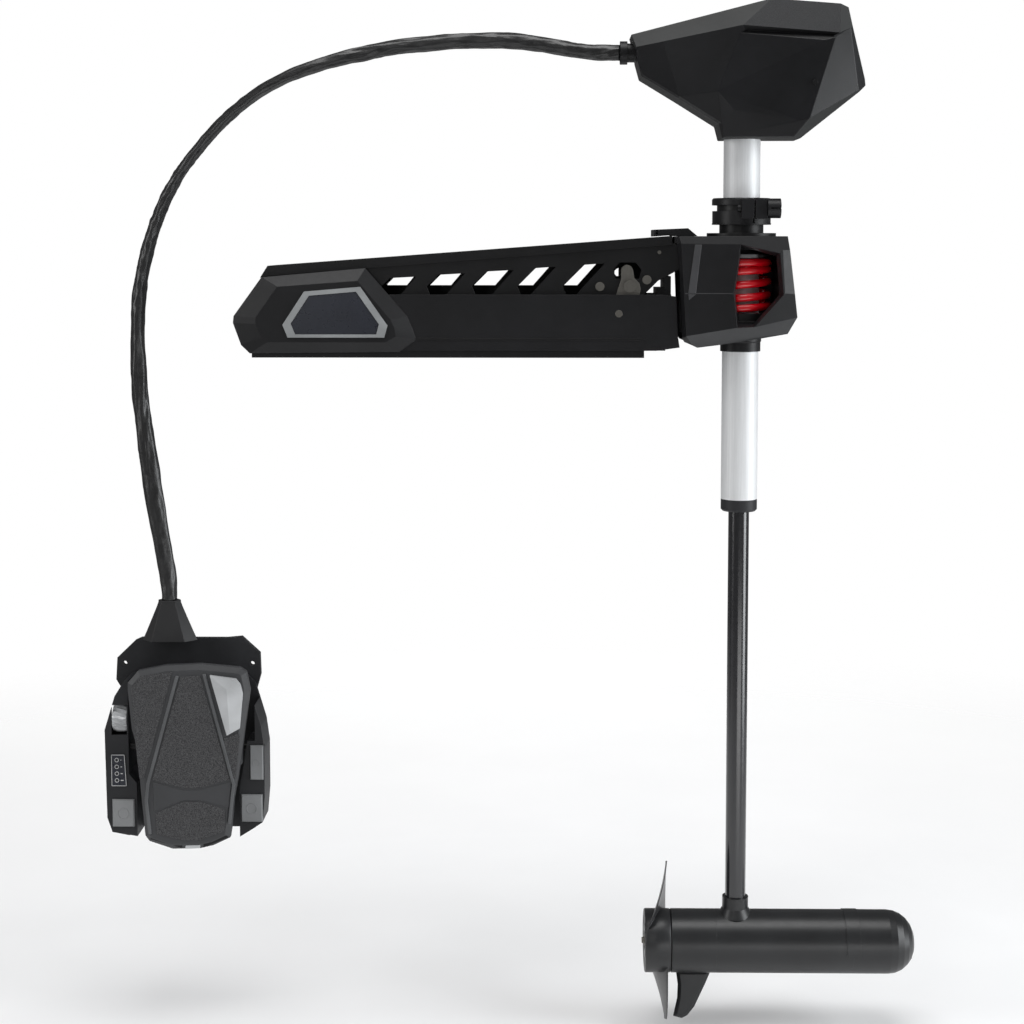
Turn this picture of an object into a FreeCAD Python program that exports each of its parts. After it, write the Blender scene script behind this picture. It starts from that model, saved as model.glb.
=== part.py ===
import FreeCAD, Part
import math
import os

from FreeCAD import Placement, Rotation, Vector

# Bow-mount electric trolling motor with cable steering.
# X runs forward along the deck, Y to port, Z up. Origin: centre of the base plate's underside.

DOC = FreeCAD.newDocument("trolling_motor")

# ---------------------------------------------------------------- driving dimensions
DIMENSIONS = {
    # deck base
    "plate_thick": 10.0,
    "plate_half_width": 50.0,
    "plate_front": 271.0,
    "plate_rear": -270.0,
    "deck_bolt_hole": 4.25,
    "deck_bolt_x": 215.0,
    "deck_bolt_y": 34.0,
    "tray_wall": 4.0,
    "tray_top": 87.0,
    "badge_thick": 2.0,
    "pivot_x": -214.0,
    "pivot_z": 80.0,
    "pivot_radius": 6.0,
    # arm
    "arm_inner": 40.0,
    "arm_wall": 5.0,
    "rail_half_width": 47.5,
    "rail_rise": 0.0735,
    "knuckle_x": 338.0,
    "knuckle_z": 138.0,
    "knuckle_radius": 6.0,
    "spacer_radius": 7.0,
    "latch_x": 251.0,
    "latch_z": 98.0,
    # spring mount
    "frame_half_width": 48.0,
    "cover_inner": 48.5,
    "cover_depth": 13.5,
    "deck_top": 167.0,
    "deck_thick": 10.0,
    "boss_radius": 48.0,
    "boss_height": 4.4,
    "tilt_z": 153.0,
    "spring_coil_radius": 38.0,
    "spring_wire_radius": 5.5,
    "spring_bottom": 60.7,
    "spring_top": 137.4,
    # column
    "column_x": 408.0,
    "tube_radius": 25.4,
    "tube_wall": 2.5,
    "tube_bottom": -201.0,
    "tube_top": 330.0,
    "shaft_radius": 14.5,
    "shaft_bore": 10.5,
    "shaft_bottom": -800.0,
    "shaft_top": 380.0,
    "sleeve_radius": 30.6,
    "sleeve_top": 185.0,
    "collar_radius": 40.5,
    "collar_top": 219.7,
    # head
    "head_half_width": 60.0,
    # lower unit
    "motor_axis": -840.0,
    "motor_radius": 44.5,
    "motor_wall": 4.0,
    "hub_rear": 278.0,
    "hub_front": 314.6,
    "cap_front": 378.6,
    "housing_front": 572.0,
    "nose_tip": 663.0,
    "prop_radius": 116.0,
    # foot pedal
    "pad_pivot_y": 0.0,
    "pad_pivot_z": -560.0,
    "pad_thick": 14.0,
    "pedal_floor": 44.0,
}

SHEET = DOC.addObject("Spreadsheet::Sheet", "Sizes")
for row, (alias, value) in enumerate(DIMENSIONS.items(), start=1):
    SHEET.set("A%d" % row, alias)
    SHEET.set("B%d" % row, str(value))
    SHEET.setAlias("B%d" % row, alias)
DOC.recompute()

NODES = []


def dim(alias):
    """A driving dimension, read back from the sheet."""
    return float(getattr(SHEET, alias))


def keep(item, label, placement=None):
    """Name an object as one finished sub-part."""
    item.Label = label
    if placement is not None:
        item.Placement = placement
    NODES.append(item)
    return item


def solid(label, shape):
    """A sub-part whose shape is built directly."""
    item = DOC.addObject("Part::Feature", label)
    item.Shape = shape
    return keep(item, label)


# ---------------------------------------------------------------- small geometry helpers
def origin_plane(body, role):
    for feature in body.Origin.OriginFeatures:
        if feature.Role == role:
            return feature
    raise ValueError(role)


def draw_loop(sketch, points):
    closed = list(points) + [points[0]]
    for start, end in zip(closed, closed[1:]):
        sketch.addGeometry(Part.LineSegment(Vector(*start, 0), Vector(*end, 0)), False)


def side_body(label, outline, depth_alias, y_start, holes=(), windows=()):
    """A flat piece drawn in side view (X, Z) and padded toward -Y from y_start."""
    body = DOC.addObject("PartDesign::Body", label)
    sketch = body.newObject("Sketcher::SketchObject", label + "_profile")
    sketch.AttachmentSupport = (origin_plane(body, "XZ_Plane"), "")
    sketch.MapMode = "FlatFace"
    draw_loop(sketch, outline)
    for loop in windows:
        draw_loop(sketch, loop)
    for x, z, radius in holes:
        sketch.addGeometry(Part.Circle(Vector(x, z, 0), Vector(0, 0, 1), radius), False)
    pad = body.newObject("PartDesign::Pad", label + "_pad")
    pad.Profile = sketch
    pad.setExpression("Length", "Sizes." + depth_alias)
    body.Placement = Placement(Vector(0, y_start, 0), Rotation())
    return body


def turned_body(label, profile):
    """A turned piece: profile points are (radius, height) about the body's own Z axis."""
    body = DOC.addObject("PartDesign::Body", label)
    sketch = body.newObject("Sketcher::SketchObject", label + "_profile")
    sketch.AttachmentSupport = (origin_plane(body, "XZ_Plane"), "")
    sketch.MapMode = "FlatFace"
    draw_loop(sketch, profile)
    turn = body.newObject("PartDesign::Revolution", label + "_turn")
    turn.Profile = sketch
    turn.ReferenceAxis = (sketch, ["V_Axis"])
    turn.Angle = 360.0
    return body


def rod(label, radius_expression, length, placement):
    """A round rod along its own Z axis."""
    item = DOC.addObject("Part::Cylinder", label)
    item.setExpression("Radius", radius_expression)
    item.Height = length
    item.Placement = placement
    return item


def along_y(x, y, z):
    """Placement whose Z axis points along +Y."""
    return Placement(Vector(x, y, z), Rotation(Vector(1, 0, 0), -90))


def along_x(x, y, z):
    """Placement whose Z axis points along +X."""
    return Placement(Vector(x, y, z), Rotation(Vector(0, 1, 0), 90))


def upright(x, z):
    return Placement(Vector(x, 0, z), Rotation())


def block(x0, x1, y0, y1, z0, z1):
    return Part.makeBox(x1 - x0, y1 - y0, z1 - z0, Vector(x0, y0, z0))


def post(x, y, z, radius, height, axis=Vector(0, 0, 1)):
    return Part.makeCylinder(radius, height, Vector(x, y, z), axis)


def side_face(points, y):
    """A face in the X, Z plane at the given Y."""
    corners = [Vector(x, y, z) for x, z in points]
    return Part.Face(Part.makePolygon(corners + [corners[0]]))


def side_prism(points, y0, y1):
    return side_face(points, y0).extrude(Vector(0, y1 - y0, 0))


def taper(points, shrunk, y0, y1):
    """A ruled loft between an outline at y0 and its smaller twin at y1."""
    first = Part.makePolygon([Vector(x, y0, z) for x, z in points + points[:1]])
    last = Part.makePolygon([Vector(x, y1, z) for x, z in shrunk + shrunk[:1]])
    return Part.makeLoft([first, last], True, True)


def shrink(points, factor):
    """Scale an outline toward its own centre."""
    cx = sum(x for x, _ in points) / len(points)
    cz = sum(z for _, z in points) / len(points)
    return [(cx + (x - cx) * factor, cz + (z - cz) * factor) for x, z in points]


def mirrored(shape):
    """The same shape on the other side of the centre plane."""
    return shape.mirror(Vector(0, 0, 0), Vector(0, 1, 0))


def ring(outer, inner, height, x, z):
    return post(x, 0, z, outer, height).cut(post(x, 0, z, inner, height))


def union(shapes):
    whole = shapes[0]
    for shape in shapes[1:]:
        whole = whole.fuse(shape)
    return whole.removeSplitter()


# ---------------------------------------------------------------- deck base
PLATE_HALF = dim("plate_half_width")
PLATE_TOP = dim("plate_thick")
TRAY_WALL = dim("tray_wall")
TRAY_TOP = dim("tray_top")
PIVOT_X = dim("pivot_x")
PIVOT_Z = dim("pivot_z")
CATCH_X = 236.0
CATCH_Z = 61.0
CATCH_RADIUS = 5.0


def deck_holes(z0, depth):
    spots = [(sx * dim("deck_bolt_x"), sy * dim("deck_bolt_y")) for sx in (-1, 1) for sy in (-1, 1)]
    return [post(x, y, z0, dim("deck_bolt_hole"), depth) for x, y in spots]


def make_base_plate():
    body = DOC.addObject("PartDesign::Body", "base_plate")
    sketch = body.newObject("Sketcher::SketchObject", "base_plate_profile")
    sketch.AttachmentSupport = (origin_plane(body, "XY_Plane"), "")
    sketch.MapMode = "FlatFace"
    rear = dim("plate_rear")
    front = dim("plate_front")
    draw_loop(sketch, [(rear, -PLATE_HALF), (front, -PLATE_HALF), (front, PLATE_HALF), (rear, PLATE_HALF)])
    for x_side in (-1, 1):
        for y_side in (-1, 1):
            centre = Vector(x_side * dim("deck_bolt_x"), y_side * dim("deck_bolt_y"), 0)
            hole = Part.Circle(centre, Vector(0, 0, 1), dim("deck_bolt_hole"))
            sketch.addGeometry(hole, False)
    pad = body.newObject("PartDesign::Pad", "base_plate_pad")
    pad.Profile = sketch
    pad.setExpression("Length", "Sizes.plate_thick")
    keep(body, "base_plate")


def make_base_tray():
    wall_outline = [
        (-262, PLATE_TOP), (287, PLATE_TOP), (319.5, 14.5), (317, 30), (314.4, 84.5), (295, TRAY_TOP),
        (-160, TRAY_TOP), (-180, 98), (-240, 98), (-262, 60),
    ]
    wall = side_prism(wall_outline, -PLATE_HALF - TRAY_WALL, -PLATE_HALF)
    floor = block(-262, 300, -PLATE_HALF, PLATE_HALF, PLATE_TOP, PLATE_TOP + TRAY_WALL)
    tail = block(-262, -262 + TRAY_WALL, -PLATE_HALF, PLATE_HALF, PLATE_TOP, 44)
    front_web = block(288, 300, -38, 38, PLATE_TOP, 96).fuse(block(298, 308, -38, 38, 84, 112))
    tray = union([wall, mirrored(wall), floor, tail, front_web])
    reach = 2 * PLATE_HALF + 20
    pivot_bore = post(PIVOT_X, -reach / 2, PIVOT_Z, dim("pivot_radius"), reach, Vector(0, 1, 0))
    catch_bore = post(CATCH_X, -reach / 2, CATCH_Z, CATCH_RADIUS, reach, Vector(0, 1, 0))
    solid("base_tray", tray.cut(deck_holes(0, 30) + [pivot_bore, catch_bore]))


END_COVER = [
    (-255, 111), (-294, 57.5), (-295, 48), (-284, 17.5), (-272, 6), (-66, 8), (-42, 24.5),
    (-48, 41.5), (-55, 58), (-112, 123.5),
]
END_COVER_FACE = [
    (-232, 98), (-262, 56), (-262, 47), (-254, 29), (-246, 22), (-84, 22), (-70, 30),
    (-72, 42), (-77, 53), (-122, 106),
]
BADGE = [(-195, 91.5), (-118, 98), (-81, 45), (-85.5, 28.5), (-218, 28.5), (-225, 46)]
COVER_FACE_Y = -PLATE_HALF - TRAY_WALL - 12.0


def make_end_covers():
    start = -PLATE_HALF - TRAY_WALL - 0.2
    outer = taper(END_COVER, END_COVER_FACE, start, COVER_FACE_Y)
    inner = taper(shrink(END_COVER, 0.95), shrink(END_COVER_FACE, 0.93), start, COVER_FACE_Y + 3)
    shell = outer.cut(inner)
    solid("end_cover_near", shell)
    solid("end_cover_far", mirrored(shell))
    frame = side_prism(BADGE, COVER_FACE_Y - dim("badge_thick"), COVER_FACE_Y)
    window = side_prism(shrink(BADGE, 0.84), COVER_FACE_Y - dim("badge_thick"), COVER_FACE_Y)
    panel = side_prism(shrink(BADGE, 0.835), COVER_FACE_Y - 0.6 * dim("badge_thick"), COVER_FACE_Y)
    badge = frame.cut(window)
    solid("badge_frames", Part.makeCompound([badge, mirrored(badge)]))
    solid("badge_panels", Part.makeCompound([panel, mirrored(panel)]))


def make_base_pins():
    pin_reach = PLATE_HALF + TRAY_WALL
    keep(rod("rear_pivot_pin", "Sizes.pivot_radius", 2 * pin_reach, along_y(PIVOT_X, -pin_reach, PIVOT_Z)),
         "rear_pivot_pin")
    catch = DOC.addObject("Part::Cylinder", "catch_pin")
    catch.Radius = CATCH_RADIUS
    catch.Height = 2 * pin_reach
    keep(catch, "catch_pin", along_y(CATCH_X, -pin_reach, CATCH_Z))


# ---------------------------------------------------------------- arm
ARM_INNER = dim("arm_inner")
ARM_OUTER = ARM_INNER + dim("arm_wall")
KNUCKLE_X = dim("knuckle_x")
KNUCKLE_Z = dim("knuckle_z")
RAIL_TAIL_X = -247.5
RAIL_TAIL_Z = 126.5
RAIL_END_X = 309.0
RAIL_THICK = 3.0
WINDOW_PITCH = 62.5
WINDOW_START = -91.0
SPACERS = [(210, 98), (274.5, 107.3), (-120, 92)]


def rail_top(x):
    return RAIL_TAIL_Z + dim("rail_rise") * (x - RAIL_TAIL_X)


def arc_points(cx, cz, radius, start, stop, count):
    """Points of an arc, angles in degrees."""
    step = (stop - start) / (count - 1)
    angles = [math.radians(start + step * index) for index in range(count)]
    return [(cx + radius * math.cos(a), cz + radius * math.sin(a)) for a in angles]


def arm_outline():
    under_rail = RAIL_THICK + 0.2
    tail = arc_points(PIVOT_X, PIVOT_Z, 19, 200, 290, 5)
    nose = arc_points(KNUCKLE_X, KNUCKLE_Z, 15, -100, 80, 9)
    rest = [
        (317, 154.5), (298, rail_top(298) - under_rail), (RAIL_TAIL_X, RAIL_TAIL_Z - under_rail), (-256, 108),
    ]
    return tail + [(-190, 71), (255, 71), (290, 106), (318, 121)] + nose + rest


def arm_windows(bottom, extra):
    loops = []
    for index in range(5):
        left = WINDOW_START + WINDOW_PITCH * index
        width = (29 if index < 3 else 20) + extra
        top = rail_top(left + 20) - 30
        rise = top - bottom
        slant = top - 98
        foot = left - min(0, bottom - 98) * 0.4
        loops.append([
            (foot, bottom), (left, 98), (left + slant, top),
            (left + slant + width, top + 2), (left + width + slant - rise * 0.95, bottom),
        ])
    return loops


def make_arm():
    holes = [
        (PIVOT_X, PIVOT_Z, 9.0), (KNUCKLE_X, KNUCKLE_Z, dim("knuckle_radius")),
        (dim("latch_x"), dim("latch_z"), 5.0),
    ]
    notch = [(231, 108.5), (264, 108.5), (267, 121), (259, 131), (237, 131), (229, 122)]
    near_loops = arm_windows(84, 8) + [notch]
    pin_slot = [(233.3, 114), (236, 110.8), (240, 111), (247.5, 114.4), (252, 117.5), (252, 122.5),
                (248, 124.7), (243, 123.9), (236.5, 121.3), (233.3, 118.5)]
    far_loops = arm_windows(97.9, 0) + [pin_slot]
    near = side_body("arm_plate_near", arm_outline(), "arm_wall", -ARM_INNER, holes, near_loops)
    far = side_body("arm_plate_far", arm_outline(), "arm_wall", ARM_OUTER, holes, far_loops)
    keep(near, "arm_plate_near")
    keep(far, "arm_plate_far")

    half = dim("rail_half_width")
    top_line = [(RAIL_TAIL_X, RAIL_TAIL_Z), (RAIL_END_X, rail_top(RAIL_END_X))]
    deck = top_line + [(x, z - RAIL_THICK) for x, z in reversed(top_line)]
    skirt = [(-258, 110)] + top_line + [(RAIL_END_X, rail_top(RAIL_END_X) - 12), (-250, 112)]
    side = side_prism(skirt, -half, -ARM_OUTER - 0.2)
    solid("arm_top_rail", union([side_prism(deck, -half, half), side, mirrored(side)]))

    tubes = [post(x, -ARM_INNER, z, dim("spacer_radius"), 2 * ARM_INNER, Vector(0, 1, 0)) for x, z in SPACERS]
    solid("arm_spacers", Part.makeCompound(tubes))
    heads = []
    for x, z in SPACERS[:2]:
        heads.append(post(x, -ARM_OUTER - 3, z, 6.2, 3, Vector(0, 1, 0)))
    heads.append(post(291.5, -ARM_OUTER - 0.8, 145, 2.6, 0.8, Vector(0, 1, 0)))
    latch_bolt = post(dim("latch_x"), -ARM_OUTER - 6.3, dim("latch_z"), 8.4, 3, Vector(0, 1, 0))
    stem = post(dim("latch_x"), -ARM_OUTER - 5, dim("latch_z"), 4.95, 2 * ARM_OUTER + 10, Vector(0, 1, 0))
    whole_bolt = latch_bolt.fuse(mirrored(latch_bolt)).fuse(stem)
    solid("arm_bolts", Part.makeCompound(heads + [mirrored(head) for head in heads] + [whole_bolt]))

    reach = ARM_OUTER + 2
    bush = post(PIVOT_X, -reach, PIVOT_Z, 9.0, 12, Vector(0, 1, 0))
    lip = post(PIVOT_X, -reach, PIVOT_Z, 13.0, 1.8, Vector(0, 1, 0))
    bore = post(PIVOT_X, -reach, PIVOT_Z, dim("pivot_radius") + 0.05, 12, Vector(0, 1, 0))
    bushing = bush.fuse(lip).cut(bore)
    solid("pivot_bushings", Part.makeCompound([bushing, mirrored(bushing)]))
    keep(rod("knuckle_pin", "Sizes.knuckle_radius", 2 * reach, along_y(KNUCKLE_X, -reach, KNUCKLE_Z)),
         "knuckle_pin")


def make_latch():
    """Two steel levers on the latch bolt, joined by the pull pin; each bears on the catch pin."""
    lobe_x = 247.0
    lobe_z = 119.5
    outline = (
        [(263.5, 82), (259, 60), (250, 51)]
        + arc_points(CATCH_X, CATCH_Z, 6.5, -25, 60, 6)
        + [(229, 71.5), (234, 92), (239, 108)] + arc_points(lobe_x, lobe_z, 8.2, 170, 10, 9)
        + [(257, 110), (264, 103), (266, 95)]
    )
    lever = side_prism(outline, -ARM_OUTER - 3.2, -ARM_OUTER - 0.4)
    bore = post(dim("latch_x"), -ARM_OUTER - 6, dim("latch_z"), 5.02, 8, Vector(0, 1, 0))
    pull_bore = post(lobe_x, -ARM_OUTER - 6, lobe_z, 4, 8, Vector(0, 1, 0))
    lever = lever.cut([bore, pull_bore])
    solid("latch_levers", Part.makeCompound([lever, mirrored(lever)]))
    pull = post(lobe_x, -ARM_OUTER - 3.2, lobe_z, 4, 2 * ARM_OUTER + 6.4, Vector(0, 1, 0))
    solid("latch_pull_pin", pull)


# ---------------------------------------------------------------- spring mount
COLUMN_X = dim("column_x")
TILT_Z = dim("tilt_z")
DECK_TOP = dim("deck_top")
DECK_UNDER = DECK_TOP - dim("deck_thick")
FRAME_HALF = dim("frame_half_width")
COVER_OUTLINE = [
    (312, 165), (318, 167), (466, 167), (469.7, 148), (477.3, 90), (481.4, 58), (468, 33), (427, 26),
    (372, 17.5), (344, 14), (336.6, 17.5), (326, 22), (322.5, 27.6), (318.3, 135), (315.5, 156),
]
COVER_WINDOW = [
    (402, 154), (399, 129), (393.6, 91.4), (398.5, 46.5), (421.4, 43.6), (459.3, 86.2), (454.1, 141.7),
]


def make_mount_frame():
    deck = block(318, 462, -FRAME_HALF, FRAME_HALF, DECK_UNDER, DECK_TOP)
    boss = post(COLUMN_X, 0, DECK_TOP, dim("boss_radius"), dim("boss_height"))
    front_wall = side_prism([(456, DECK_UNDER), (462, DECK_UNDER), (474, 60), (462, 36), (456, 36)],
                            -FRAME_HALF, FRAME_HALF)
    floor = side_prism([(354, 20), (372, 22), (427, 30), (462, 36), (462, 50), (354, 50)],
                       -FRAME_HALF, FRAME_HALF)
    lug_outline = (
        [(KNUCKLE_X + 24, DECK_UNDER), (KNUCKLE_X + 24, KNUCKLE_Z)]
        + arc_points(KNUCKLE_X, KNUCKLE_Z, 14, -30, -180, 7) + [(KNUCKLE_X - 14, DECK_UNDER)]
    )
    lug = side_prism(lug_outline, -ARM_INNER + 1, -28)
    cheek = block(COLUMN_X - 10, COLUMN_X + 10, -FRAME_HALF, -38, TILT_Z - 4.2, DECK_UNDER)
    rear_post = block(356, 362, -FRAME_HALF, -FRAME_HALF + 5, 50, DECK_UNDER)
    liner = block(436, 458, 39, FRAME_HALF, 50, DECK_UNDER)
    ledge = post(COLUMN_X, 0, 50, 46, dim("spring_bottom") - 50)
    frame = union([deck, boss, front_wall, floor, ledge, lug, mirrored(lug), cheek, mirrored(cheek),
                   rear_post, mirrored(rear_post), liner])
    slot = union([
        block(COLUMN_X - 12.5, COLUMN_X + 12.5, -29.5, 29.5, 0, 80),
        post(COLUMN_X - 12.5, 0, 0, 29.5, 80), post(COLUMN_X + 12.5, 0, 0, 29.5, 80),
    ])
    neck_bore = post(COLUMN_X, 0, TILT_Z - 10, dim("sleeve_radius") + 3.2, 60)
    trunnion = post(COLUMN_X, -60, TILT_Z, 3.05, 120, Vector(0, 1, 0))
    knuckle = post(KNUCKLE_X, -60, KNUCKLE_Z, dim("knuckle_radius") + 0.05, 120, Vector(0, 1, 0))
    solid("mount_frame", frame.cut([slot, neck_bore, trunnion, knuckle]))


def make_side_covers():
    near = side_body("side_cover_near", COVER_OUTLINE, "cover_depth", -dim("cover_inner"),
                     (), [COVER_WINDOW])
    far_start = dim("cover_inner") + dim("cover_depth")
    far = side_body("side_cover_far", COVER_OUTLINE, "cover_depth", far_start, (), [COVER_WINDOW])
    for body in (near, far):
        DOC.recompute()
        pad = body.Tip
        outer_y = pad.Shape.BoundBox.YMin if body is near else pad.Shape.BoundBox.YMax
        edges = []
        for index, edge in enumerate(pad.Shape.Edges, start=1):
            box = edge.BoundBox
            on_outer_face = abs(box.YMin - outer_y) < 0.01 and abs(box.YMax - outer_y) < 0.01
            long_low = box.ZMax < 60 and box.XLength > 30 and box.ZMax < 40
            if on_outer_face and (long_low or box.XMin > 465):
                edges.append("Edge%d" % index)
        bevel = body.newObject("PartDesign::Chamfer", body.Name + "_bevel")
        bevel.Base = (pad, edges)
        bevel.Size = 6.0
    keep(near, "side_cover_near")
    keep(far, "side_cover_far")


def make_hook_cap():
    """Stop cap on the mount's rear edge, resting over the end of the arm's top rail."""
    cap = side_prism([(284.4, 166.6), (309.5, 168.4), (311.5, 167.2), (344, 167.2), (331, 178), (284.4, 176)],
                     -40, 40)
    slit = block(287, 289.5, -41, 41, 169, 175)
    solid("hook_cap", cap.cut(slit))


def make_spring():
    """Closed ends and an open middle, wound as one helix."""
    wire = dim("spring_wire_radius")
    bottom = dim("spring_bottom") + wire
    height = dim("spring_top") - dim("spring_bottom") - 2 * wire
    helix = Part.makeHelix(height / 4.0, height, dim("spring_coil_radius"))
    circle = Part.Circle(Vector(dim("spring_coil_radius"), 0, 0), Vector(0, 1, 0), wire - 0.05)
    coil = Part.Wire(helix).makePipeShell([Part.Wire([circle.toShape()])], True, True)
    coil.translate(Vector(COLUMN_X, 0, bottom))
    solid("breakaway_spring", coil)


# ---------------------------------------------------------------- tilting carrier and depth collar
def make_carrier():
    inner = dim("tube_radius") + 0.05
    outer = dim("sleeve_radius")
    flange_low = dim("sleeve_top") - 2
    profile = [
        (inner, dim("spring_top") + 0.2), (outer, dim("spring_top") + 0.2), (outer, flange_low),
        (41, flange_low), (41, dim("sleeve_top")), (inner, dim("sleeve_top")),
    ]
    sleeve = turned_body("sleeve_turning", profile)
    pins = DOC.addObject("Part::Cylinder", "trunnion_blank")
    pins.Radius = 3.0
    pins.Height = 90
    pins.Placement = along_y(COLUMN_X, -45, TILT_Z)
    core = rod("trunnion_core", "Sizes.tube_radius + 2", 90, upright(COLUMN_X, TILT_Z - 45))
    sleeve.Placement = upright(COLUMN_X, 0)
    trunnions = DOC.addObject("Part::Cut", "trunnions")
    trunnions.Base = pins
    trunnions.Tool = core
    whole = DOC.addObject("Part::Fuse", "carrier_sleeve")
    whole.Base = sleeve
    whole.Tool = trunnions
    keep(whole, "carrier_sleeve")
    seat_profile = [(outer + 0.02, 137.6), (44, 137.6), (44, 142), (41, 144.6), (outer + 0.02, 144.6)]
    keep(turned_body("spring_seat_upper", seat_profile), "spring_seat_upper", upright(COLUMN_X, 0))
    bush_profile = [(inner, 7), (28, 7), (28, 19.5), (29, 21), (29, 26), (inner, 26)]
    keep(turned_body("lower_bushing", bush_profile), "lower_bushing", upright(COLUMN_X, 0))


CLAMP_Y = -46.0
CLAMP_Z = 205.0


def make_collar():
    base = dim("sleeve_top")
    radius = dim("collar_radius")
    top = dim("collar_top")
    profile = [
        (dim("tube_radius") + 0.05, base), (radius, base), (radius, 201.8), (34, 201.8), (34, 210),
        (radius + 0.5, 210), (radius + 0.5, top - 2), (radius - 1.5, top), (dim("tube_radius") + 0.05, top),
    ]
    corners = [Vector(r, 0, z) for r, z in profile]
    band = Part.Face(Part.makePolygon(corners + corners[:1])).revolve(Vector(0, 0, 0), Vector(0, 0, 1), 360)
    band.translate(Vector(COLUMN_X, 0, 0))
    ears = block(403, 438, -54, -30, 191, 217.5)
    gap = block(420, 422, -60, -20, base - 1, top + 1)
    bolt_way = post(390, CLAMP_Y, CLAMP_Z, 3.05, 60, Vector(1, 0, 0))
    collar = band.fuse(ears).cut([gap, bolt_way, post(COLUMN_X, 0, base, dim("tube_radius") + 0.05, 60)])
    solid("depth_collar", collar.removeSplitter())


def make_clamp_knob():
    """Slotted cam knob and its through bolt; it turns about the bolt."""
    head = post(438.5, CLAMP_Y, CLAMP_Z, 13.5, 18, Vector(1, 0, 0))
    slot = block(442, 460, CLAMP_Y - 16, CLAMP_Y - 9.5, CLAMP_Z - 1, CLAMP_Z + 1)
    stem = post(399, CLAMP_Y, CLAMP_Z, 3.0, 40, Vector(1, 0, 0))
    tip = post(398, CLAMP_Y, CLAMP_Z, 5, 4.8, Vector(1, 0, 0))
    solid("clamp_knob", union([head.cut(slot), stem, tip]))


# ---------------------------------------------------------------- column and head
def make_column():
    length = dim("tube_top") - dim("tube_bottom")
    outer = rod("tube_outside", "Sizes.tube_radius", length, upright(COLUMN_X, dim("tube_bottom")))
    inner = rod("tube_bore", "Sizes.tube_radius - Sizes.tube_wall", length,
                upright(COLUMN_X, dim("tube_bottom")))
    tube = DOC.addObject("Part::Cut", "outer_tube")
    tube.Base = outer
    tube.Tool = inner
    keep(tube, "outer_tube")

    bottom = dim("tube_bottom")
    bore = dim("shaft_radius") + 0.05
    ring_profile = [
        (bore, bottom - 17), (23, bottom - 17), (25.4, bottom - 14.5), (25.4, bottom - 0.1),
        (bore, bottom - 0.1),
    ]
    keep(turned_body("column_end_ring", ring_profile), "column_end_ring", upright(COLUMN_X, 0))

    seat = dim("tube_radius") - dim("tube_wall")
    low = ring(seat, bore, 24, COLUMN_X, bottom)
    high = ring(seat, bore, 24, COLUMN_X, dim("tube_top") - 24)
    solid("column_bearings", Part.makeCompound([low, high]))

    shaft_length = dim("shaft_top") - dim("shaft_bottom")
    shaft = rod("shaft_outside", "Sizes.shaft_radius", shaft_length, upright(COLUMN_X, dim("shaft_bottom")))
    bore_rod = rod("shaft_inside", "Sizes.shaft_bore", shaft_length, upright(COLUMN_X, dim("shaft_bottom")))
    drive = DOC.addObject("Part::Cut", "inner_shaft")
    drive.Base = shaft
    drive.Tool = bore_rod
    keep(drive, "inner_shaft")


HEAD_OUTLINE = [
    (252, 442), (444, 491), (538, 484), (549, 479), (555, 451), (573, 382), (574, 373), (566, 365),
    (484, 300.5), (377, 300.5), (372, 320), (316, 355), (266, 385), (260, 407), (258, 424),
]
HEAD_CAVITY = [
    (266, 437), (444, 483), (534, 477), (546, 450), (564, 380), (560, 368),
    (480, 307), (384, 307), (378, 324), (318, 362), (272, 389), (267, 407),
]
SPLIT_LINE = [(240, 419.5), (294, 431), (399, 452.5), (536, 441.5), (600, 437)]
INDICATOR_X = 459.0


def head_half_space(points, keep_inside):
    """A big wedge to cut away: the plane through three near-side points, on the outer side."""
    first, second, third = [Vector(*point) for point in points]
    normal = (second - first).cross(third - first)
    normal.normalize()
    if (Vector(*keep_inside) - first).dot(normal) > 0:
        normal = normal * -1
    wedge = Part.makeBox(900, 900, 300, Vector(-450, -450, 0))
    wedge.Placement = Placement(first, Rotation(Vector(0, 0, 1), normal))
    return wedge


def head_screw_set(radius, proud):
    half = dim("head_half_width")
    screws = []
    for x, z in ((400, 375), (500, 375)):
        screws.append(post(x, -half - proud, z, radius, 2 + proud, Vector(0, 1, 0)))
    return screws + [mirrored(screw) for screw in screws]


def make_head():
    half = dim("head_half_width")
    outer = side_prism(HEAD_OUTLINE, -half, half)
    heart = (440, 0, 400)
    facets = [
        [(258, -half, 421), (399, -half, 452.5), (444, -38, 491)],
        [(402, -half, 452), (523, -half, 442), (444, -38, 491)],
        [(523, -half, 438), (489.5, -half, 329), (573, -34, 380)],
        [(489.5, -half, 329), (365, -half, 352), (484, -38, 300.5)],
        [(365, -half, 365), (262, -46, 400), (372, -46, 318)],
    ]
    for facet in facets:
        wedge = head_half_space(facet, heart)
        outer = outer.cut([wedge, mirrored(wedge)])
    cavity = side_prism(HEAD_CAVITY, -32, 32)
    column_way = post(COLUMN_X, 0, 290, dim("tube_radius") + 0.05, 45)
    cable_way = post(240, 0, 420, 13, 40, Vector(1, 0, 0))
    shell = outer.cut([cavity, column_way, cable_way] + head_screw_set(3.45, 0))
    above = side_prism(SPLIT_LINE + [(600, 600), (240, 600)], -100, 100)
    indicator_way = post(INDICATOR_X, 0, 470, 3.05, 40)
    solid("head_lower_housing", shell.cut(above))
    solid("head_top_cover", shell.common(above).cut(indicator_way))

    gland = post(238, 0, 420, 16, 10, Vector(1, 0, 0)).fuse(post(248, 0, 420, 13, 20, Vector(1, 0, 0)))
    solid("cable_gland", gland)
    solid("head_screws", Part.makeCompound(head_screw_set(3.4, 0.8)))


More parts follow.
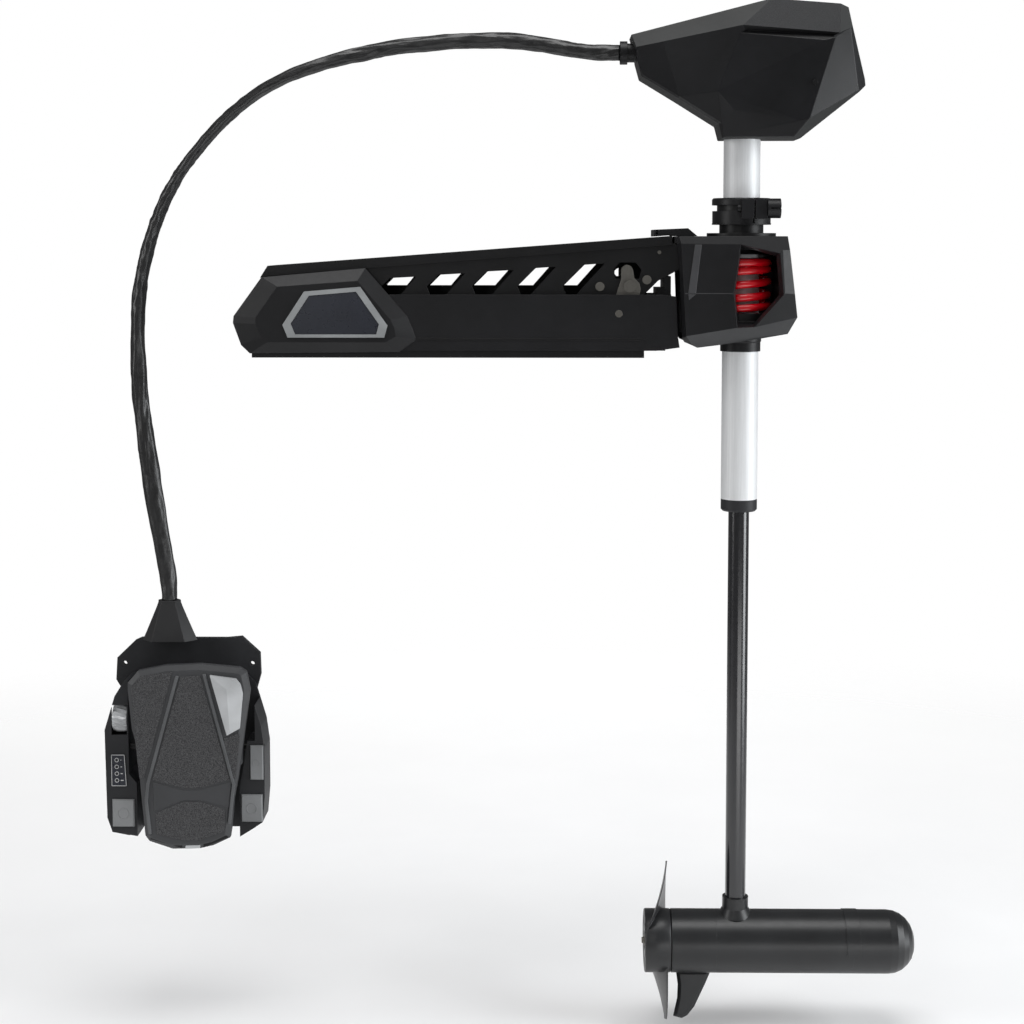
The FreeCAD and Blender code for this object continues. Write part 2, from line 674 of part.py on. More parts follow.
def make_steering_parts():
    pointer = block(INDICATOR_X, INDICATOR_X + 11, -1.5, 1.5, 492.5, 494.5)
    disc = post(INDICATOR_X, 0, 491.5, 7, 4).fuse(pointer)
    stem = post(INDICATOR_X, 0, 470, 3, 22)
    solid("direction_indicator", disc.fuse(stem))
    drum = ring(29, dim("shaft_radius"), 18, COLUMN_X, 345)
    for level in (349, 356):
        drum = drum.cut(ring(31, 25, 3, COLUMN_X, level))
    solid("cable_drum", drum)


# ---------------------------------------------------------------- lower unit
AXIS_Z = dim("motor_axis")
MOTOR_R = dim("motor_radius")


def turned_x(profile):
    """Turn (x, radius) points about the motor axis."""
    corners = [Vector(x, 0, AXIS_Z + r) for x, r in profile]
    face = Part.Face(Part.makePolygon(corners + corners[:1]))
    return face.revolve(Vector(0, 0, AXIS_Z), Vector(1, 0, 0), 360)


def make_motor_housing():
    front = dim("housing_front")
    wall = dim("motor_wall")
    shell = turned_x([(dim("cap_front"), MOTOR_R - wall), (dim("cap_front"), MOTOR_R), (front, MOTOR_R),
                      (front, MOTOR_R - wall)])
    neck = post(COLUMN_X, 0, AXIS_Z + 38, 18.5, 28)
    base = Part.makeCone(26, 18.5, 12, Vector(COLUMN_X, 0, AXIS_Z + 38))
    bore_air = post(COLUMN_X, 0, AXIS_Z + 30, dim("shaft_radius"), 80)
    inside = Part.makeCylinder(MOTOR_R - wall, 200, Vector(dim("cap_front"), 0, AXIS_Z), Vector(1, 0, 0))
    solid("motor_housing", union([shell, neck, base]).cut([bore_air, inside]))


def make_motor_ends():
    hub = dim("hub_front")
    cap = turned_x([(hub + 0.6, 8.05), (hub + 0.6, MOTOR_R - 1), (hub + 1.6, MOTOR_R),
                    (dim("cap_front"), MOTOR_R),
                    (dim("cap_front"), MOTOR_R - 8), (350, MOTOR_R - 10), (350, 8.05)])
    solid("rear_end_cap", cap)
    front = dim("housing_front")
    radius_steps = 7
    shoulder = []
    for index in range(radius_steps):
        angle = math.radians(90.0 * index / (radius_steps - 1))
        shoulder.append((625 + 38 * math.sin(angle), 6.5 + 38 * math.cos(angle)))
    profile = [(front, 0), (front, MOTOR_R)] + shoulder + [(dim("nose_tip"), 0)]
    nose = turned_x(profile)
    facet = Part.makeBox(80, 120, 40, Vector(0, -60, -40))
    facet.Placement = Placement(Vector(633, 0, AXIS_Z - MOTOR_R), Rotation(Vector(0, 1, 0), -46))
    solid("nose_cone", nose.cut(facet))
    band = turned_x([(562, MOTOR_R + 0.1), (562, MOTOR_R + 1), (582, MOTOR_R + 1), (582, MOTOR_R + 0.1)])
    sector = block(550, 600, -60, 60, AXIS_Z - 6, AXIS_Z + 60)
    solid("trim_band", band.common(sector))


def make_skeg():
    outline = [
        (322.7, -882), (325.4, -909), (323.5, -932), (319.5, -956), (331.4, -957.5), (337.7, -954.6),
        (347, -942), (363, -909), (370.6, -882),
    ]
    fin = side_prism(outline, -3.5, 3.5)
    core = Part.makeCylinder(MOTOR_R, 70, Vector(310, 0, AXIS_Z), Vector(1, 0, 0))
    solid("skeg", fin.cut(core))


def make_motor_inside():
    axis = Vector(1, 0, 0)
    outer = Part.makeCylinder(MOTOR_R - dim("motor_wall"), 90, Vector(430, 0, AXIS_Z), axis)
    inner = Part.makeCylinder(33, 90, Vector(430, 0, AXIS_Z), axis)
    gap = block(420, 530, -50, 50, AXIS_Z - 6, AXIS_Z + 6)
    solid("magnets", outer.cut([inner, gap]))
    rear = Part.makeCylinder(18, 12, Vector(350, 0, AXIS_Z), axis)
    front = Part.makeCylinder(18, 12, Vector(560, 0, AXIS_Z), axis)
    way = Part.makeCylinder(8.05, 260, Vector(340, 0, AXIS_Z), axis)
    plate = Part.makeCylinder(MOTOR_R - dim("motor_wall"), 4, Vector(556, 0, AXIS_Z), axis)
    solid("motor_bearings", Part.makeCompound([rear.cut(way), front.fuse(plate).cut(way)]))
    shaft = Part.makeCylinder(8, 293, Vector(278, 0, AXIS_Z), axis)
    core = Part.makeCylinder(32, 80, Vector(435, 0, AXIS_Z), axis)
    commutator = Part.makeCylinder(20, 20, Vector(525, 0, AXIS_Z), axis)
    solid("armature_shaft", union([shaft, core, commutator]))


def blade():
    """One twisted blade pointing up: ruled sections from the hub out to the tip."""
    stations = 6
    root = MOTOR_R - 6
    wires = []
    for index in range(stations):
        share = index / (stations - 1)
        radius = root + (dim("prop_radius") - root) * share
        chord = 62 - 46 * share ** 1.6
        angle = math.radians(50 - 34 * share)
        half_x = chord / 2 * math.sin(math.radians(90) - angle) * 0.66
        half_y = chord / 2 * math.sin(angle) * 1.35
        thick = 3.2 - 1.8 * share
        lead = hub_mid() + 12 * share ** 0.8
        ends = [(-half_x, -half_y), (half_x, half_y)]
        normal = Vector(half_y, -half_x, 0)
        normal.normalize()
        corners = []
        for (dx, dy), side in ((ends[0], 1), (ends[1], 1), (ends[1], -1), (ends[0], -1)):
            edge = Vector(lead + dx, dy, AXIS_Z + radius)
            corners.append(edge + Vector(normal.x, normal.y, 0) * side * thick)
        wires.append(Part.makePolygon(corners + corners[:1]))
    return Part.makeLoft(wires, True, True)


def hub_mid():
    return (dim("hub_rear") + dim("hub_front")) / 2


def make_propeller():
    hub = turned_x([(dim("hub_rear"), 8.02), (dim("hub_rear"), MOTOR_R - 1.5),
                    (dim("hub_rear") + 1.5, MOTOR_R),
                    (dim("hub_front"), MOTOR_R), (dim("hub_front"), 8.02)])
    upper = blade()
    lower = upper.copy()
    lower.rotate(Vector(0, 0, AXIS_Z), Vector(1, 0, 0), 180)
    bore = Part.makeCylinder(8.02, 90, Vector(250, 0, AXIS_Z), Vector(1, 0, 0))
    sweep = Part.makeCylinder(dim("prop_radius") + 20, dim("hub_front") - dim("hub_rear"),
                              Vector(dim("hub_rear"), 0, AXIS_Z), Vector(1, 0, 0))
    solid("propeller", union([hub, upper, lower]).cut(bore).common(sweep))
    nut = turned_x([(274.5, 0), (274.5, 4), (278, 5), (278, 0)])
    solid("prop_nut", nut)


# ---------------------------------------------------------------- foot pedal
PEDAL_FLOOR = dim("pedal_floor")
PAD_Y = dim("pad_pivot_y")
PAD_Z = dim("pad_pivot_z")
PEDAL_OUTLINE = [
    (-476, -484), (-491, -533), (-489, -660), (-482, -681), (-445, -688), (-300, -688), (-267, -666),
    (-263.6, -629), (-263.6, -560), (-268, -527), (-283, -476), (-296, -462), (-462, -462),
]
PAD_OUTLINE = [
    (-453, -460), (-438, -443), (-398, -435), (-350, -433), (-294, -438), (-285, -444), (-280, -470),
    (-284, -490), (-290.5, -545), (-298, -596), (-304, -625), (-307.5, -664), (-310, -682),
    (-334, -693.5), (-353, -698), (-392, -699),
    (-425, -688), (-431, -680), (-436.5, -616), (-441, -552), (-448, -527), (-453, -473),
]
EAR_PLATE = [
    (-449, -412), (-458, -416), (-484, -441), (-486, -473), (-476, -490), (-283, -490), (-276, -465),
    (-277, -434), (-303, -410), (-324, -412),
]
EAR_HOLES = [(-473, -449), (-288, -449)]
LEFT_WALL_X = -457.0
RIGHT_WALL_X = -277.0
WHEEL_X = -480.0
WHEEL_WIDTH = 20.5
WHEEL_RADIUS = 20.5
WHEEL_Y = 3.0
WHEEL_Z = -518.5
KEY_FRONT = -17.5
KEY_THICK = 9.0
SIDE_BUTTONS = [(-465.5, -653, 16, 20), (-274.4, -579, 9.6, 25), (-281.8, -645, 15.2, 20)]
LEFT_SHOULDER = [(-457, -596), (-446, -610), (-446, -687), (-457, -685)]
RIGHT_SHOULDER = [
    (-288, -548), (-277, -548), (-277, -673), (-299.5, -687), (-299.5, -615), (-295.5, -596),
]
BUTTON_NAMES = ["left_heel_button", "right_mode_button", "right_heel_button"]


def make_pedal_base():
    floor = side_prism(PEDAL_OUTLINE, PEDAL_FLOOR - 6, PEDAL_FLOOR)
    shell = side_prism(PEDAL_OUTLINE, -14, PEDAL_FLOOR)
    lane = block(LEFT_WALL_X, RIGHT_WALL_X, -40, PEDAL_FLOOR - 6, -720, -440)
    pocket_left = block(-486, LEFT_WALL_X - 4, -10, PEDAL_FLOOR - 6, -660, -500)
    shoulders = [side_prism(points, -14, PEDAL_FLOOR - 6) for points in (LEFT_SHOULDER, RIGHT_SHOULDER)]
    base = union([floor, shell.cut([lane, pocket_left])] + shoulders)
    reach = RIGHT_WALL_X - LEFT_WALL_X
    pivot = post(LEFT_WALL_X - 3.5, PAD_Y, PAD_Z, 5, reach + 7, Vector(1, 0, 0))
    way_half = WHEEL_RADIUS + 1
    wheel_way = block(WHEEL_X - 1, WHEEL_X + WHEEL_WIDTH + 0.5, WHEEL_Y - way_half, WHEEL_Y + way_half,
                      WHEEL_Z - way_half, WHEEL_Z + way_half)
    axle = post(WHEEL_X, WHEEL_Y, WHEEL_Z, 2.95, WHEEL_WIDTH + 1.5, Vector(1, 0, 0))
    ways = [wheel_way]
    for x, z, half_x, half_z in SIDE_BUTTONS:
        ways.append(block(x - half_x - 0.4, x + half_x + 0.4, -20, KEY_FRONT + KEY_THICK + 2.6,
                          z - half_z - 0.4, z + half_z + 0.4))
    solid("pedal_base", base.cut([pivot] + ways).fuse(axle))


def make_pedal_back_plate():
    body = side_body("pedal_back_plate", EAR_PLATE, "plate_thick", PEDAL_FLOOR + 10,
                     [(x, z, 3.2) for x, z in EAR_HOLES])
    keep(body, "pedal_back_plate")


def make_boot():
    sections = []
    for level, half_x, half_y in ((-412, 40, 16), (-390, 31, 14), (-366, 19, 11.5), (-353, 16.6, 10)):
        points = arc_points(0, 0, 1, 0, 330, 12)
        corners = [Vector(-404 + half_x * u, 28 + half_y * v, level) for u, v in points]
        sections.append(Part.makePolygon(corners + corners[:1]))
    solid("cable_boot", Part.makeLoft(sections, True, True))


def make_pedal_controls():
    for name, (x, z, half_x, half_z) in zip(BUTTON_NAMES, SIDE_BUTTONS):
        button = DOC.addObject("Part::Box", name)
        button.Length = 2 * half_x
        button.Width = KEY_THICK
        button.Height = 2 * half_z
        keep(button, name, Placement(Vector(x - half_x, KEY_FRONT, z - half_z), Rotation()))
    wheel = DOC.addObject("Part::Cylinder", "speed_wheel_rim")
    wheel.Radius = WHEEL_RADIUS
    wheel.Height = WHEEL_WIDTH
    wheel.Placement = along_x(WHEEL_X, WHEEL_Y, WHEEL_Z)
    hub = DOC.addObject("Part::Cylinder", "speed_wheel_bore")
    hub.Radius = 3
    hub.Height = WHEEL_WIDTH
    hub.Placement = along_x(WHEEL_X, WHEEL_Y, WHEEL_Z)
    turned = DOC.addObject("Part::Cut", "speed_wheel")
    turned.Base = wheel
    turned.Tool = hub
    keep(turned, "speed_wheel")
    panel = DOC.addObject("Part::Box", "indicator_panel")
    panel.Length = 22
    panel.Width = 1.6
    panel.Height = 46
    keep(panel, "indicator_panel", Placement(Vector(-482, -15.6, -614), Rotation()))


MOMENTARY_KEY = [(-337, -446), (-298, -451), (-291, -460), (-288, -474), (-293, -524), (-313, -535)]


def make_pad():
    plate = side_body("pad_plate", PAD_OUTLINE, "pad_thick", -24)
    rib = side_prism([(-436, -540), (-294, -540), (-294, -580), (-436, -580)], -24, -5)
    hinge = post(-436, PAD_Y, PAD_Z, 11, 142, Vector(1, 0, 0))
    bore = post(-440, PAD_Y, PAD_Z, 5.0, 150, Vector(1, 0, 0))
    lug = DOC.addObject("Part::Feature", "pad_lug")
    lug.Shape = union([rib, hinge]).cut(bore)
    well = DOC.addObject("Part::Feature", "key_well")
    well.Shape = side_prism(shrink(MOMENTARY_KEY, 1.02), -45, -33)
    body = DOC.addObject("Part::Fuse", "pad_with_lug")
    body.Base = plate
    body.Tool = lug
    pad = DOC.addObject("Part::Cut", "foot_pad")
    pad.Base = body
    pad.Tool = well
    keep(pad, "foot_pad")
    upper = [(-378, -448), (-350, -446), (-306, -600), (-350, -611), (-375, -612), (-420, -600)]
    lower = [(-416, -647), (-375, -630), (-351, -630), (-312, -640), (-312, -673), (-352, -687),
             (-375, -687), (-414, -678)]
    grips = [side_prism(points, -40, -38) for points in (upper, lower)]
    solid("pad_grips", Part.makeCompound(grips).cut(well.Shape))
    reach = RIGHT_WALL_X - LEFT_WALL_X + 6
    pin = DOC.addObject("Part::Cylinder", "pad_pivot_pin")
    pin.Radius = 4.97
    pin.Height = reach
    keep(pin, "pad_pivot_pin", along_x(LEFT_WALL_X - 3.5, PAD_Y, PAD_Z))
    solid("momentary_button", side_prism(MOMENTARY_KEY, -46, -36))


# ---------------------------------------------------------------- control cable
CABLE_ROUTE = [
    (238, 0, 420), (197, 0, 420), (151, 0, 428), (104, 0, 436), (52, 0, 438), (0, 0, 436), (-52, 0, 431.5),
    (-105, 0, 423), (-157, 0, 411), (-207, 0, 396), (-254, 0, 374), (-296, 0, 344), (-332, 0, 309),
    (-364, 2, 272), (-391, 4, 232), (-411, 6, 188), (-426, 8, 143), (-436, 10, 96), (-440.5, 12, 48),
    (-441.5, 14, 0), (-439.5, 16, -50), (-435, 18, -100), (-429.5, 20, -150), (-423, 22, -198),
    (-416.5, 24, -244), (-410, 26, -288), (-404, 28, -324), (-404, 28, -353),
]
CABLE_RADIUS = 8.5


def make_cable():
    """Straight runs joined by tangent arcs through the route's corners."""
    corners = [Vector(*point) for point in CABLE_ROUTE]
    edges = []
    start = corners[0]
    for before, corner, after in zip(corners, corners[1:], corners[2:]):
        arrive = (corner - before).normalize()
        leave = (after - corner).normalize()
        turn = arrive.getAngle(leave)
        shorter = min((corner - before).Length, (after - corner).Length)
        cut = 0.45 * shorter
        radius = cut / math.tan(turn / 2)
        first = corner - arrive * cut
        last = corner + leave * cut
        middle_way = (leave - arrive).normalize()
        sagitta = radius / math.cos(turn / 2) - radius
        middle = corner + middle_way * sagitta
        edges.append(Part.LineSegment(start, first).toShape())
        edges.append(Part.Arc(first, middle, last).toShape())
        print("cable corner radius %.0f" % radius)
        start = last
    edges.append(Part.LineSegment(start, corners[-1]).toShape())
    path = Part.Wire(edges)
    heading = (corners[1] - corners[0]).normalize()
    section = Part.Wire([Part.Circle(corners[0], heading, CABLE_RADIUS).toShape()])
    tube = path.makePipeShell([section], True, False)
    expected = math.pi * CABLE_RADIUS ** 2 * path.Length
    print("cable length %.0f volume ratio %.4f" % (path.Length, tube.Volume / expected))
    solid("control_cable", tube)


# ---------------------------------------------------------------- assemble and write
make_base_plate()
make_base_tray()
make_end_covers()
make_base_pins()
make_arm()
make_latch()
make_mount_frame()
make_side_covers()
make_hook_cap()
make_spring()
make_carrier()
make_collar()
make_clamp_knob()
make_column()
make_head()
make_steering_parts()
make_motor_housing()
make_motor_ends()
make_skeg()
make_motor_inside()
make_propeller()
make_pedal_base()
make_pedal_back_plate()
make_boot()
make_pedal_controls()
make_pad()
make_cable()
DOC.recompute()

for item in DOC.Objects:
    if "Invalid" in item.State or "Error" in item.State:
        raise RuntimeError("failed object: " + item.Label)
for item in NODES:
    if item.Shape.isNull() or not item.Shape.isValid():
        raise RuntimeError("bad shape: " + item.Label)

os.makedirs("parts", exist_ok=True)
for item in NODES:
    item.Shape.exportStep("parts/%s.step" % item.Label)
print(len(NODES), "nodes written")
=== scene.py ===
import math

import bmesh
import bpy
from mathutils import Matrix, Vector, noise


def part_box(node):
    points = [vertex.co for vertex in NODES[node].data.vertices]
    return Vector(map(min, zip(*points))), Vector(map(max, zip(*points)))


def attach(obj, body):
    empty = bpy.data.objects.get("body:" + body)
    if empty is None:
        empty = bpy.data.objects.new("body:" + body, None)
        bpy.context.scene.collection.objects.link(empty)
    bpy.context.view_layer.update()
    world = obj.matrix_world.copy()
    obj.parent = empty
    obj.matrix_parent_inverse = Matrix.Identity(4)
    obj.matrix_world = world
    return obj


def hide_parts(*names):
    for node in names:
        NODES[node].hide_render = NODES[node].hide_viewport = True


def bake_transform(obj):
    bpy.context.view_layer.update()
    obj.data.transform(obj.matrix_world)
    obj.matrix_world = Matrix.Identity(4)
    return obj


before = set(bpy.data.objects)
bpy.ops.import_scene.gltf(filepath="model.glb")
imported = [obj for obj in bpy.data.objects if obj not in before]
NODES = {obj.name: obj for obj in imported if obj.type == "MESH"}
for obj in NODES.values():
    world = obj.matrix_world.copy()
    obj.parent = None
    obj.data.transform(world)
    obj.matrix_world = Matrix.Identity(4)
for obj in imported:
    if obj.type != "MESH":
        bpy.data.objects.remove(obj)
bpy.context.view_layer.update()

MM = 0.001
FLOOR_Z = -0.968
COIL_RADIUS = 37.9
WIRE_RADIUS = 5.45
COIL_TURNS = 5


# ---------------------------------------------------------------- materials
def node_material(name):
    mat = bpy.data.materials.new(name)
    mat.use_nodes = True
    tree = mat.node_tree
    shader = tree.nodes["Principled BSDF"]
    place = tree.nodes.new("ShaderNodeTexCoord")
    return mat, tree, shader, place.outputs["Object"]


def add_noise(tree, vector, scale, detail=3.0, rough=0.5, stretch=None):
    if stretch is not None:
        squeeze = tree.nodes.new("ShaderNodeMapping")
        squeeze.inputs["Scale"].default_value = stretch
        tree.links.new(vector, squeeze.inputs["Vector"])
        vector = squeeze.outputs["Vector"]
    tex = tree.nodes.new("ShaderNodeTexNoise")
    tex.inputs["Scale"].default_value = scale
    tex.inputs["Detail"].default_value = detail
    tex.inputs["Roughness"].default_value = rough
    tree.links.new(vector, tex.inputs["Vector"])
    return tex.outputs["Fac"]


def add_ramp(tree, fac, stops):
    ramp = tree.nodes.new("ShaderNodeValToRGB")
    ramp.color_ramp.elements[0].position = stops[0][0]
    ramp.color_ramp.elements[0].color = (*stops[0][1], 1)
    ramp.color_ramp.elements[1].position = stops[-1][0]
    ramp.color_ramp.elements[1].color = (*stops[-1][1], 1)
    for position, colour in stops[1:-1]:
        ramp.color_ramp.elements.new(position).color = (*colour, 1)
    tree.links.new(fac, ramp.inputs["Fac"])
    return ramp.outputs["Color"]


def add_range(tree, fac, low, high):
    spread = tree.nodes.new("ShaderNodeMapRange")
    spread.inputs["To Min"].default_value = low
    spread.inputs["To Max"].default_value = high
    tree.links.new(fac, spread.inputs["Value"])
    return spread.outputs["Result"]


def add_bumps(tree, shader, layers, edge):
    """Layers are (height output, distance in metres, strength); edge is the radius of softened corners."""
    normal = None
    if edge:
        soft = tree.nodes.new("ShaderNodeBevel")
        soft.samples = 4
        soft.inputs["Radius"].default_value = edge
        normal = soft.outputs["Normal"]
    for height, distance, strength in layers:
        bump = tree.nodes.new("ShaderNodeBump")
        bump.inputs["Distance"].default_value = distance
        bump.inputs["Strength"].default_value = strength
        tree.links.new(height, bump.inputs["Height"])
        if normal is not None:
            tree.links.new(normal, bump.inputs["Normal"])
        normal = bump.outputs["Normal"]
    if normal is not None:
        tree.links.new(normal, shader.inputs["Normal"])


def tint(colour, factor):
    return tuple(channel * factor for channel in colour)


def moulded(name, colour, rough, grain_scale=900, grain_depth=0.00012, mottling=0.25, edge=0.0007,
            specular=0.5, coat=0.0):
    """Injection-moulded plastic or powder coat: fine spark grain, faint mottling, softened edges."""
    mat, tree, shader, where = node_material(name)
    cloud = add_noise(tree, where, 14, 4)
    grain = add_noise(tree, where, grain_scale, 2, 0.6)
    dust = add_noise(tree, where, 120, 5, 0.7)
    shade = add_ramp(tree, cloud, [(0.3, tint(colour, 1 - mottling)), (0.7, tint(colour, 1 + mottling))])
    tree.links.new(shade, shader.inputs["Base Color"])
    tree.links.new(add_range(tree, dust, rough - 0.07, rough + 0.09), shader.inputs["Roughness"])
    shader.inputs["Specular IOR Level"].default_value = specular
    shader.inputs["Coat Weight"].default_value = coat
    shader.inputs["Coat Roughness"].default_value = 0.15
    add_bumps(tree, shader, [(grain, grain_depth, 0.35)], edge)
    return mat


def brushed(name, colour, rough, stretch, edge=0.0006, metallic=1.0):
    """Bare metal with drawn or turned lines along the stretch direction."""
    mat, tree, shader, where = node_material(name)
    lines = add_noise(tree, where, 30, 6, 0.7, stretch)
    smudge = add_noise(tree, where, 22, 4, 0.6)
    shade = add_ramp(tree, lines, [(0.25, tint(colour, 0.88)), (0.75, tint(colour, 1.06))])
    tree.links.new(shade, shader.inputs["Base Color"])
    tree.links.new(add_range(tree, smudge, rough - 0.06, rough + 0.1), shader.inputs["Roughness"])
    shader.inputs["Metallic"].default_value = metallic
    add_bumps(tree, shader, [(lines, 0.00006, 0.3)], edge)
    return mat


def speckled(name, dark, light, rough=0.75):
    """Cast grit or grain: fine light specks on a dark ground."""
    mat, tree, shader, where = node_material(name)
    cells = tree.nodes.new("ShaderNodeTexVoronoi")
    cells.inputs["Scale"].default_value = 1500
    tree.links.new(where, cells.inputs["Vector"])
    patches = add_noise(tree, where, 950, 4, 0.7)
    shade = add_ramp(tree, patches, [(0.36, dark), (0.55, tint(light, 0.6)), (0.74, light)])
    tree.links.new(shade, shader.inputs["Base Color"])
    shader.inputs["Roughness"].default_value = rough
    shader.inputs["Specular IOR Level"].default_value = 0.25
    add_bumps(tree, shader, [(cells.outputs["Distance"], 0.0003, 0.7), (patches, 0.0003, 0.6)], 0.0)
    return mat


def glossy_enamel(name, colour, rough=0.12):
    """Thick dipped enamel with slight orange peel."""
    mat, tree, shader, where = node_material(name)
    peel = add_noise(tree, where, 260, 2)
    cloud = add_noise(tree, where, 40, 3)
    shade = add_ramp(tree, cloud, [(0.3, tint(colour, 0.82)), (0.7, tint(colour, 1.1))])
    tree.links.new(shade, shader.inputs["Base Color"])
    tree.links.new(add_range(tree, peel, rough, rough + 0.08), shader.inputs["Roughness"])
    shader.inputs["Coat Weight"].default_value = 0.8
    shader.inputs["Coat Roughness"].default_value = 0.05
    add_bumps(tree, shader, [(peel, 0.00025, 0.25)], 0.0)
    return mat


def creased_vinyl(name, colour):
    """Thin shiny vinyl pulled over a bundle of wires: long creases and small puckers."""
    mat, tree, shader, where = node_material(name)
    creases = add_noise(tree, where, 26, 5, 0.62, (1.0, 1.6, 0.8))
    puckers = add_noise(tree, where, 90, 4, 0.65)
    shade = add_ramp(tree, puckers, [(0.3, tint(colour, 0.7)), (0.7, tint(colour, 1.35))])
    tree.links.new(shade, shader.inputs["Base Color"])
    tree.links.new(add_range(tree, puckers, 0.26, 0.46), shader.inputs["Roughness"])
    shader.inputs["Specular IOR Level"].default_value = 0.6
    add_bumps(tree, shader, [(creases, 0.003, 0.45), (puckers, 0.0008, 0.4)], 0.0)
    return mat


MATERIALS = {
    "black_plastic": moulded("black_plastic", (0.007, 0.007, 0.008), 0.42, specular=0.3),
    "charcoal_plastic": moulded("charcoal_plastic", (0.018, 0.0185, 0.0205), 0.5, 700, specular=0.3),
    "light_grey_plastic": moulded("light_grey_plastic", (0.26, 0.27, 0.275), 0.45, 800),
    "navy_panel": moulded("navy_panel", (0.012, 0.014, 0.022), 0.28, 500),
    "black_coated_metal": moulded("black_coated_metal", (0.0055, 0.0055, 0.006), 0.4, 1100, specular=0.3),
    "motor_paint": moulded("motor_paint", (0.012, 0.0125, 0.0135), 0.34, 1300, 0.0001),
    "bare_steel": brushed("bare_steel", (0.17, 0.163, 0.148), 0.46, (9, 9, 1)),
    "column_aluminium": brushed("column_aluminium", (0.74, 0.75, 0.76), 0.5, (14, 14, 0.35), 0.0, 0.2),
    "composite_shaft": moulded("composite_shaft", (0.01, 0.01, 0.012), 0.2, 400, 0.00008, 0.2, 0.0, 0.6, 0.5),
    "red_spring": glossy_enamel("red_spring", (0.72, 0.003, 0.012), 0.08),
    "chrome_ring": brushed("chrome_ring", (0.45, 0.45, 0.46), 0.2, (1, 1, 12), 0.0003),
    "acetal": moulded("acetal", (0.02, 0.02, 0.021), 0.4, 600),
    "grip_rubber": speckled("grip_rubber", (0.018, 0.018, 0.019), (0.2, 0.2, 0.205)),
    "vinyl_sleeve": creased_vinyl("vinyl_sleeve", (0.009, 0.009, 0.0095)),
    "button_grey": moulded("button_grey", (0.14, 0.145, 0.15), 0.48, 800),
    "copper_winding": brushed("copper_winding", (0.6, 0.26, 0.12), 0.35, (1, 12, 12)),
    "ferrite": moulded("ferrite", (0.03, 0.03, 0.032), 0.6, 500),
}
# Lighter grey for the head's edge chamfers and underside bands: a painted highlight standing in for the
# right-hand lamp and the floor lighting those facets, not a grey trim of its own.
PAINTED_HIGHLIGHT_GREY = moulded("painted_highlight_grey", (0.027, 0.028, 0.028), 0.55, 500, 0.0002, 0.12, specular=0.25)
GRAINED_TOP = speckled("grained_top", (0.007, 0.0075, 0.0085), (0.026, 0.027, 0.03), 0.5)
PAD_PLASTIC = moulded("pad_plastic", (0.036, 0.037, 0.04), 0.5, 700, 0.00012, 0.12)
PAD_GRIT = speckled("pad_grit", (0.01, 0.01, 0.011), (0.12, 0.12, 0.124))
MARK_WHITE = moulded("mark_white", (0.6, 0.6, 0.6), 0.5, 500)
PALE_FACET = moulded("pale_facet", (0.45, 0.46, 0.47), 0.42, 700)
HEAD_BLACK = moulded("head_black", (0.0065, 0.0066, 0.0076), 0.36, 1000, specular=0.3)
# Lighter black for the side covers' lower facets and underside: painted light standing in for light bounced
# up from the floor.
PAINTED_BOUNCE_LIGHT_FACET = moulded("low_facet", (0.03, 0.031, 0.033), 0.42, 900)
RIB_GREY = moulded("rib_grey", (0.04, 0.04, 0.043), 0.4, 900)
RIDGE_GREY = moulded("ridge_grey", (0.085, 0.088, 0.092), 0.45, 800)
KEY_GREY = moulded("key_grey", (0.2, 0.205, 0.21), 0.5, 800)
WHEEL_SILVER = moulded("wheel_silver", (0.42, 0.43, 0.44), 0.25, 500, 0.00005, 0.15, 0.0003, 0.6, 0.4)
RUBBER = moulded("boot_rubber", (0.011, 0.011, 0.012), 0.55, 600)
BLADE = moulded("blade", (0.03, 0.03, 0.032), 0.33, 900, 0.00008)

for node in NODES.values():
    for entry in node.material_slots:
        wanted = entry.material.name.split(".")[0] if entry.material else ""
        if wanted in MATERIALS:
            entry.material = MATERIALS[wanted]

for label in ("head_screws", "pad_pivot_pin"):
    NODES[label].material_slots[0].material = MATERIALS["black_coated_metal"]
NODES["trim_band"].material_slots[0].material = MATERIALS["motor_paint"]
NODES["armature_shaft"].material_slots[0].material = MATERIALS["bare_steel"]


# ---------------------------------------------------------------- mesh helpers
def link(name, mesh, mat):
    piece = bpy.data.objects.new(name, mesh)
    bpy.context.scene.collection.objects.link(piece)
    if mat is not None:
        mesh.materials.append(mat)
    return piece


def mesh_from(name, points, faces, mat=None, scale=MM):
    mesh = bpy.data.meshes.new(name)
    mesh.from_pydata([tuple(scale * c for c in p) for p in points], [], faces)
    mesh.update()
    tool = bmesh.new()
    tool.from_mesh(mesh)
    bmesh.ops.recalc_face_normals(tool, faces=tool.faces)
    tool.to_mesh(mesh)
    tool.free()
    return link(name, mesh, mat)


def soften(piece, width, segments=2, angle=25):
    """Rounded edges by a bevel, with clean flat shading between them."""
    bevel = piece.modifiers.new("rounded", "BEVEL")
    bevel.width = width * MM
    bevel.segments = segments
    bevel.limit_method = "ANGLE"
    bevel.angle_limit = math.radians(angle)
    bevel.harden_normals = True
    for polygon in piece.data.polygons:
        polygon.use_smooth = True
    return piece


def smooth(piece):
    for polygon in piece.data.polygons:
        polygon.use_smooth = True
    return piece


def side_block(name, outline, y0, y1, mat, inner=None):
    """A block drawn in side view from y0 to y1; inner is its outline at y1 when that end is smaller."""
    count = len(outline)
    far = inner or outline
    points = [(x, y0, z) for x, z in outline] + [(x, y1, z) for x, z in far]
    faces = [tuple(range(count)), tuple(range(2 * count - 1, count - 1, -1))]
    faces += [(i, (i + 1) % count, count + (i + 1) % count, count + i) for i in range(count)]
    return mesh_from(name, points, faces, mat)


